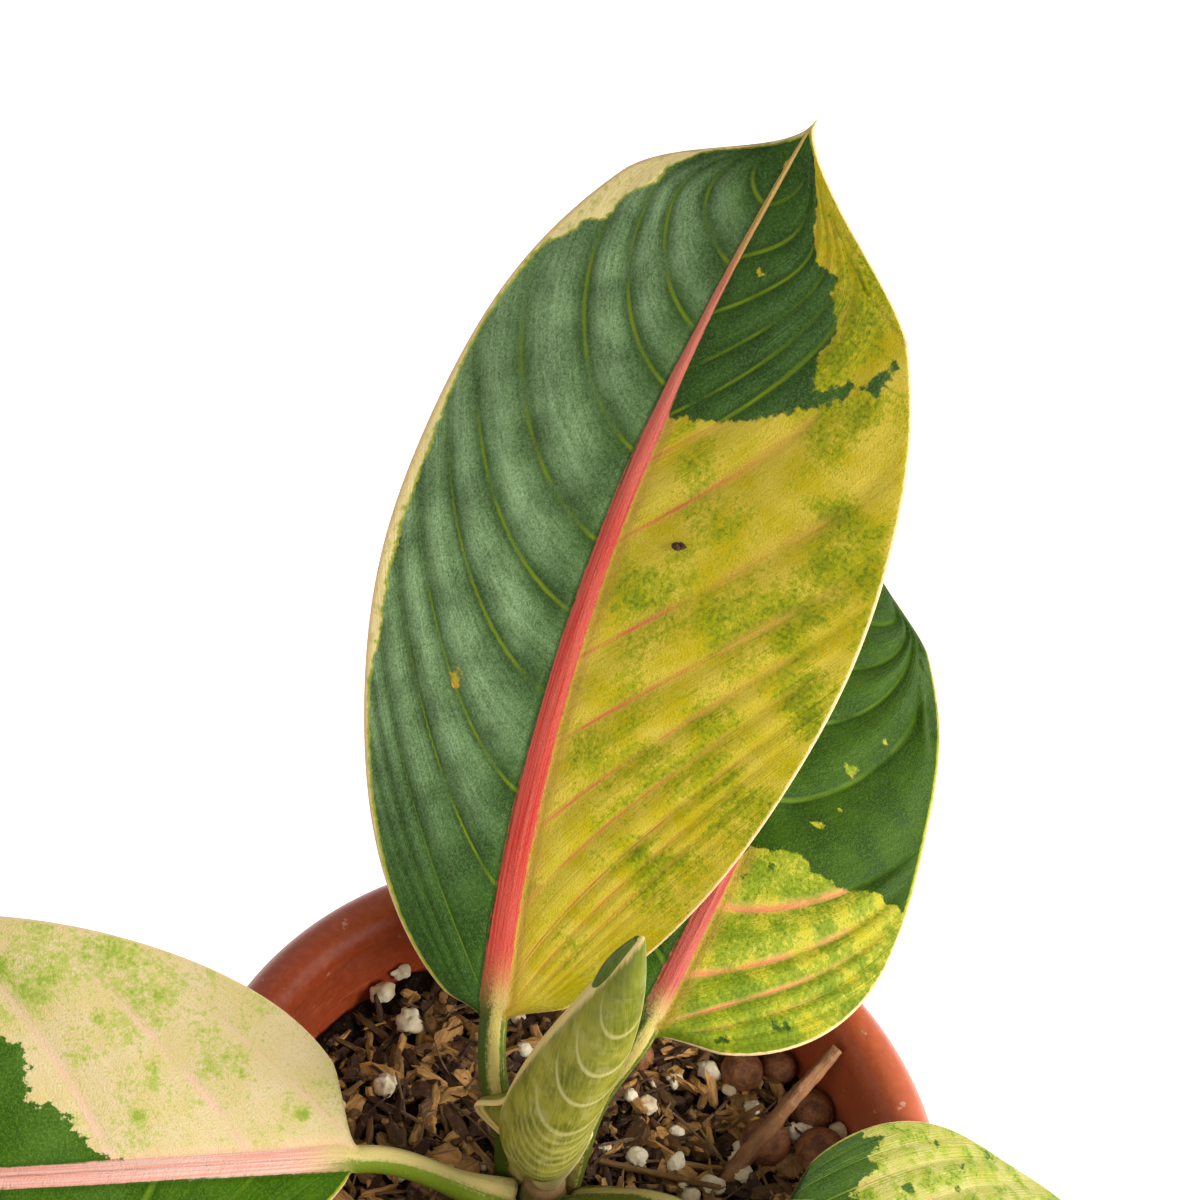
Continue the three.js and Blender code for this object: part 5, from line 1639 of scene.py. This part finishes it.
def keep_inside(points, gap=0.5):
    """Draws in any point that would pass through the wall, so nothing pokes through the pot."""
    radius = np.hypot(points[..., 0], points[..., 1])
    limit = mouth(points[..., 2]) - gap
    points[..., :2] *= np.minimum(1, limit / np.maximum(radius, 1e-6))[..., None]
    return points


def lay(name, count, seed, ranges, finish, pitch, off_wall, **shape):
    """Scatters `count` bars; length, width and thickness are drawn from the three ranges in mm."""
    draw = np.random.default_rng(seed)
    x, y = scattered(count, seed + 1, WALL_REACH - off_wall, 5.5)
    sizes = np.stack([draw.uniform(*ends, len(x)) for ends in ranges], -1)
    angles = (draw.uniform(0, 2 * np.pi, len(x)), draw.normal(0, pitch, len(x)),
              draw.normal(0, 0.6, len(x)))
    points, faces, values = shards(x, y, sizes, angles, seed + 2, **shape)
    make_piece(name, keep_inside(points), faces, finish, values, "potting_mix", facets=True)


lay("bark_crumbs", 1300, 30, ((1.2, 3.2), (0.7, 1.7), (0.5, 1.3)), BARK, 0.5, 2.5, lift=-0.6, rough=0.24)
lay("bark_pieces", 1050, 40, ((2.6, 8), (0.8, 2.3), (0.5, 1.1)), BARK, 0.3, 4,
    stations=7, bend=0.07, lift=0.1, flat=9.0, rough=0.17, blunt=0.75)
lay("bark_flakes", 70, 45, ((4, 7), (2.6, 4.4), (0.6, 1.1)), BARK, 0.3, 4,
    stations=7, columns=10, bend=0.08, lift=0.3, flat=8.0)
lay("husk_strands", 250, 50, ((4, 11), (0.22, 0.6), (0.2, 0.45)), HUSK, 0.22, 6.5,
    stations=8, columns=5, bend=0.14, lift=0.8, rough=0.1)

# %% [markdown]
# ## Perlite and clay balls
# Perlite is puffed white glass: rough pale lumps. The clay balls are smooth and matte. Icospheres
# with a displacement would do for both, but each would need its own texture. Here both are
# spheres whose radius varies in waves, and only the size of those waves tells them apart.

# %% Round lumps
LUMP_PACES = (2.0, 3.5, 5.5, 8.0, 11.0)


def lumps(places, rows, columns, depth, seed, squash=1.0):
    """Spheres whose radius varies with a few waves of its own angles; poles are one point."""
    draw = np.random.default_rng(seed)
    high = np.linspace(0, np.pi, rows)[None, :, None]
    round_z = np.linspace(0, 2 * np.pi, columns, endpoint=False)[None, None, :]
    x, y, z = np.sin(high) * np.cos(round_z), np.sin(high) * np.sin(round_z), np.cos(high) + 0 * round_z
    radius = 1 + 0 * x
    for pace in LUMP_PACES:
        wave = draw.normal(0, 1, (len(places), 3, 1, 1)) * pace
        phase = draw.uniform(0, ABOUT_A_TURN, (len(places), 1, 1))
        radius = radius + depth / pace * np.sin(wave[:, 0] * x + wave[:, 1] * y + wave[:, 2] * z + phase)
    size = places[:, 3, None, None]
    points = np.stack([x * radius * size, y * radius * size, z * radius * size * squash], -1)
    points = points + places[:, None, None, :3]
    faces = copies(grid_faces(rows, columns)[:, ::-1], len(places), rows * columns)
    tone = np.broadcast_to(draw.uniform(0, 1, (len(places), 1, 1)), points.shape[:3])
    return points, faces, dict(tone=tone)


lump = lumps(np.array([[0, 0, 0, 1.0]]), 13, 20, 0.36, 63)[0]
print("a lump of radius 1 reaches", np.linalg.norm(lump, axis=-1).max().round(2))

# %% The finishes of the lumps
GLASS = dict(white=(0.86, 0.76, 0.56), stain=(0.56, 0.4, 0.22), dull=(0.55, 0.4, 0.26))
CLAY = dict(dark=(0.1, 0.03, 0.009), red=(0.31, 0.115, 0.04), grit=(0.42, 0.22, 0.1))


def perlite_finish():
    """White with tan stains, each grain duller or brighter, and pitted with small pores."""
    f = Finish("perlite", roughness=0.9, specular_ior_level=0.3)
    pores, stain = f.cells(f.place(), 1300), f.noise(f.place(), 260, 3, 0.6)
    colour = f.mix(f.step(stain, 0.35, 0.75), GLASS["white"], GLASS["stain"])
    colour = f.tint(colour, GLASS["dull"], f.step(f.value("tone"), 0.4, 1.0), 0.35)
    return f.done(base_color=colour, normal=f.bump(pores, 0.00018))


def clay_finish():
    """Brown clay, cloudy from the fire, with paler grit."""
    f = Finish("fired_clay", roughness=0.6, specular_ior_level=0.4)
    cloud, grit = f.noise(f.place(), 480, 4, 0.65), f.noise(f.place(), 1500, 3, 0.6)
    colour = f.mix(f.step(cloud, 0.3, 0.7), CLAY["dark"], CLAY["red"])
    colour = f.tint(colour, CLAY["grit"], f.step(grit, 0.62, 0.72), 0.5)
    return f.done(base_color=colour, normal=f.bump(f.math("ADD", grit, cloud), 0.0004))


print("tones of perlite and clay:", ", ".join([*GLASS, *CLAY]))

# %% Place the perlite and the clay balls
PERLITE_PLACES = [(-27.7, 12.8, 1.6), (-26.5, 25.5, 2.0), (-31.3, 28.8, 1.7), (-29.5, 32.9, 1.6),
                  (17.7, 27.3, 1.7), (32.6, 20.2, 1.4), (33.9, 30.6, 1.2), (38.0, 21.2, 1.5),
                  (31.3, 20.0, 1.6), (12.8, 24.9, 1.2), (17.8, 5.3, 1.3), (9.5, 19.4, 1.5),
                  (14.5, 16.2, 1.1), (4.8, 10.3, 1.2), (15.1, 10.3, 1.4), (24.8, 22.6, 1.3),
                  (21.6, 7.9, 1.2)]
CLAY_PLACES = [(22.3, 28.2, 3.2), (33.3, 24.2, 3.3), (27.2, 16.4, 3.7), (35.2, 16.6, 3.7),
               (27.6, 30.6, 2.6), (6.9, 26.9, 2.5), (-21, -27.5, 3.4), (12.4, -31, 3.6), (33, -12, 3.3)]
SMALL_GRAINS, SMALL_SIZES = 70, (0.45, 1.5)


def on_bed(places, lift):
    """Adds the height of the bed, and a share of the lump's size, to each place."""
    x, y, size = np.asarray(places, float).T
    return np.column_stack([x, y, mix_height(x, y) + lift * size, size])


small_x, small_y = scattered(SMALL_GRAINS, 62, WALL_REACH - 3, 8)
small_sizes = np.random.default_rng(61).uniform(*SMALL_SIZES, len(small_x))
grains = np.vstack([PERLITE_PLACES, np.column_stack([small_x, small_y, small_sizes])])
points, faces, values = lumps(on_bed(grains, 0.55), 13, 20, 0.36, 63, 0.8)
make_piece("perlite_grains", keep_inside(points), faces, perlite_finish(), values, "potting_mix")
points, faces, values = lumps(on_bed(CLAY_PLACES, 0.4), 32, 48, 0.035, 64, 0.93)
make_piece("clay_balls", keep_inside(points), faces, clay_finish(), values, "potting_mix")

# %% A crumb on the tall leaf
crumb_lumps = np.array([[*CRUMB_PLACE, 0.65], [*(CRUMB_PLACE + [0.6, 0, 0.4]), 0.5]])
points, faces, values = lumps(crumb_lumps, 14, 18, 0.5, 66, 0.7)
values = dict(grain=points * 0.8, tone=0 * values["tone"])
make_piece("leaf_crumb", points, faces, BARK, values, "potting_mix")

# %% [markdown]
# ## The cane
# The cane is the short stem that all stalks spring from, ringed by the scars of leaves that
# have dropped. It could be a cylinder with loop cuts scaled one by one. A cosine of the height
# gives the same five swellings, and a high power of it the narrow scars between them.

# %% The cane's finish
CANE_TONES = dict(green=(0.09, 0.08, 0.02), tan=(0.2, 0.15, 0.045), scar=(0.24, 0.13, 0.06),
                  grain=(0.26, 0.2, 0.07))


def cane_finish():
    """Green and tan in clouds, a warm brown on the scars, and a fine grain upwards."""
    f = Finish("cane", roughness=0.6, specular_ior_level=0.15)
    grain = f.noise(f.stretch(f.place(), (1500, 1500, 260)), 1, 3, 0.6)
    colour = f.mix(f.step(f.noise(f.place(), 160, 3, 0.6), 0.3, 0.7), CANE_TONES["green"], CANE_TONES["tan"])
    colour = f.tint(colour, CANE_TONES["scar"], f.step(f.value("scar"), 0.5, 1.0), 0.75)
    colour = f.tint(colour, CANE_TONES["grain"], f.step(grain, 0.5, 0.75), 0.4)
    return f.done(base_color=colour, normal=f.bump(grain, 0.0002))


print("tones in the cane:", ", ".join(CANE_TONES))

# %% Build the cane
CANE_RINGS, CANE_COLUMNS, DOME_HEIGHT = 5, 72, 1.6
NARROWS_FROM, NARROWS_BY = 82, 0.4


def build_cane():
    """Radius against height: a swelling at each of five rings and half an ellipse at the top."""
    high = np.linspace(CANE_FOOT[2], CANE_TOP, 120)
    phase = (high - CANE_FOOT[2]) / (CANE_TOP - CANE_FOOT[2]) * CANE_RINGS
    scar = np.cos(2 * np.pi * phase) ** 9
    radius = CANE_RADIUS + 0.35 * np.cos(2 * np.pi * phase) + 0.12 * scar
    radius = radius * (1 - NARROWS_BY * smooth(high, NARROWS_FROM, CANE_TOP))
    dome = np.linspace(0, np.pi / 2, 14)[1:]
    top = np.column_stack([radius[-1] * np.cos(dome), CANE_TOP + DOME_HEIGHT * np.sin(dome)])
    profile = np.vstack([[[0, high[0]]], np.column_stack([radius, high]), top])
    points = turned(profile, CANE_COLUMNS) + [*CANE_FOOT[:2], 0]
    scar = np.concatenate([[0], np.maximum(scar, 0), 1 + 0 * dome])[:, None]
    values = dict(scar=np.broadcast_to(scar, points.shape[:2]))
    faces = grid_faces(len(profile), CANE_COLUMNS)
    make_piece("cane_stem", points, faces, cane_finish(), values, "cane", "cane")


build_cane()

# %% [markdown]
# ## The twig and the thin stick
# A dry twig leans from the mix against the rim, and a thin stick lies on the mix. A curve with a
# bevel would give smooth pipes. A tube along a few knots, with its radius stirred by waves that
# wind slowly round it, has the ribs and knocks of wood.


# %% A smooth path through a few knots
def through(knots, steps):
    """A cubic in each span between knots; at a knot both spans have the slope of its neighbours."""
    knots = np.asarray(knots, float)
    slope = np.gradient(knots, axis=0)
    place = np.linspace(0, len(knots) - 1, steps)
    i = np.minimum(place.astype(int), len(knots) - 2)
    t = (place - i)[:, None]
    a, b, m, n = knots[i], knots[i + 1], slope[i], slope[i + 1]
    return ((2 * t**3 - 3 * t**2 + 1) * a + (t**3 - 2 * t**2 + t) * m
            + (3 * t**2 - 2 * t**3) * b + (t**3 - t**2) * n)


print("half way through three knots:", through([[0, 0, 0], [1, 1, 0], [2, 0, 0]], 3)[1])


# %% Build the twig and the thin stick
def woody(name, knots, radii, finish, slot, stands_for=None, steps=70, columns=24):
    """A tube along the knots; three sines of the turn and the run stir its radius."""
    path = through(knots, steps)
    radius = np.interp(np.linspace(0, 1, steps), np.linspace(0, 1, len(radii)), radii)
    points = tube(path, radius, columns, (1, 0.3, 0))
    a = np.linspace(0, 2 * np.pi, columns, endpoint=False)[None, :]
    s = np.linspace(0, 9, steps + 2)[:, None]
    relief = 1 + 0.05 * np.sin(5 * a + s) + 0.05 * np.sin(3 * a - 2.3 * s) + 0.04 * np.sin(7 * s)
    centre = np.concatenate([path[:1], path, path[-1:]])[:, None]
    points = centre + (points - centre) * relief[..., None]
    grain = np.stack(np.broadcast_arrays(s * 3, np.cos(a), np.sin(a)), -1)
    values = dict(grain=grain, tone=np.full(points.shape[:2], 0.5))
    make_piece(name, points, grid_faces(steps + 2, columns), finish, values, slot, stands_for)


TWIG_BARK = bark_finish("twig_wood", (0.24, 0.1, 0.035), (0.44, 0.22, 0.09), (0.11, 0.04, 0.014))
woody("twig_stick", [(20.6, 7, 77.5), (27.4, 17.2, 86), (34.5, 27.9, 92.4)], (1.5, 1.25, 0.95),
      TWIG_BARK, "twig_wood", "twig")
woody("thin_stick", [(-1.4, 8.2, 81.5), (10, 7.4, 82.4), (21.9, 7.2, 82.6)], (0.45, 0.5, 0.4),
      BARK, "potting_mix", steps=40, columns=12)

# %% [markdown]
# ## The floor
# The photograph has a plain white ground. A backdrop curve would catch a horizon, but the camera
# only looks down, so a large flat floor does. It glows a little, so that it stays pale.

# %% The floor
FLOOR_REACH, FLOOR_DROP = 3000.0, 0.05


def build_floor():
    """A square just below the pot's base."""
    line = np.linspace(-FLOOR_REACH, FLOOR_REACH, 3)
    x, y = np.meshgrid(line, line, indexing="ij")
    f = Finish("pale_floor", roughness=0.9, specular_ior_level=0.0, emission_color=(1, 1, 1),
               emission_strength=0.3)
    colour = f.mix(f.noise(f.place(), 3, 2), (0.93, 0.93, 0.93), (0.95, 0.95, 0.95))
    mesh = bpy.data.meshes.new("floor")
    points = np.stack([x, y, 0 * x - FLOOR_DROP], -1).reshape(-1, 3) * MM
    mesh.from_pydata(points.tolist(), [], grid_faces(3, 3, closed=False)[:, ::-1].tolist())
    mesh.materials.append(f.done(base_color=colour))
    floor = bpy.data.objects.new("floor", mesh)
    bpy.context.collection.objects.link(floor)


build_floor()
print("the floor is", 2 * FLOOR_REACH * MM, "m wide")

# %% [markdown]
# ## The light
# The photograph's light is soft, with more of it from the right. One big lamp overhead would
# darken the sides of the pot. A white world gives the even part and three discs the rest.

# %% The lights
LIGHT_AIM = Vector((0, 0, 0.11))
LAMPS = {"key_light": ((950, -250, 720), 0.7, 22, (1, 0.99, 0.97)),
         "back_light": ((950, 450, 500), 0.6, 5, (1, 1, 1)),
         "front_light": ((-420, -800, 620), 0.6, 2.2, (1, 1, 1))}
WORLD_STRENGTH = 0.48


def lamp(name, place, size, power, colour):
    """A round area light at a place in millimetres, turned towards the plant."""
    data = bpy.data.lights.new(name, "AREA")
    data.shape, data.size, data.energy, data.color = "DISK", size, power, colour
    light = bpy.data.objects.new(name, data)
    light.location = Vector(place) * MM
    light.rotation_mode = "QUATERNION"
    light.rotation_quaternion = (LIGHT_AIM - light.location).to_track_quat("-Z", "Y")
    bpy.context.collection.objects.link(light)


for name, (place, size, power, colour) in LAMPS.items():
    lamp(name, place, size, power, colour)
world = bpy.data.worlds.new("studio")
world.use_nodes = True
background = world.node_tree.nodes["Background"]
background.inputs[0].default_value = (1, 1, 1, 1)
background.inputs[1].default_value = WORLD_STRENGTH
bpy.context.scene.world = world
bpy.context.scene.view_settings.view_transform = "Standard"
bpy.context.scene.view_settings.look = "None"
print("lamps:", ", ".join(LAMPS))
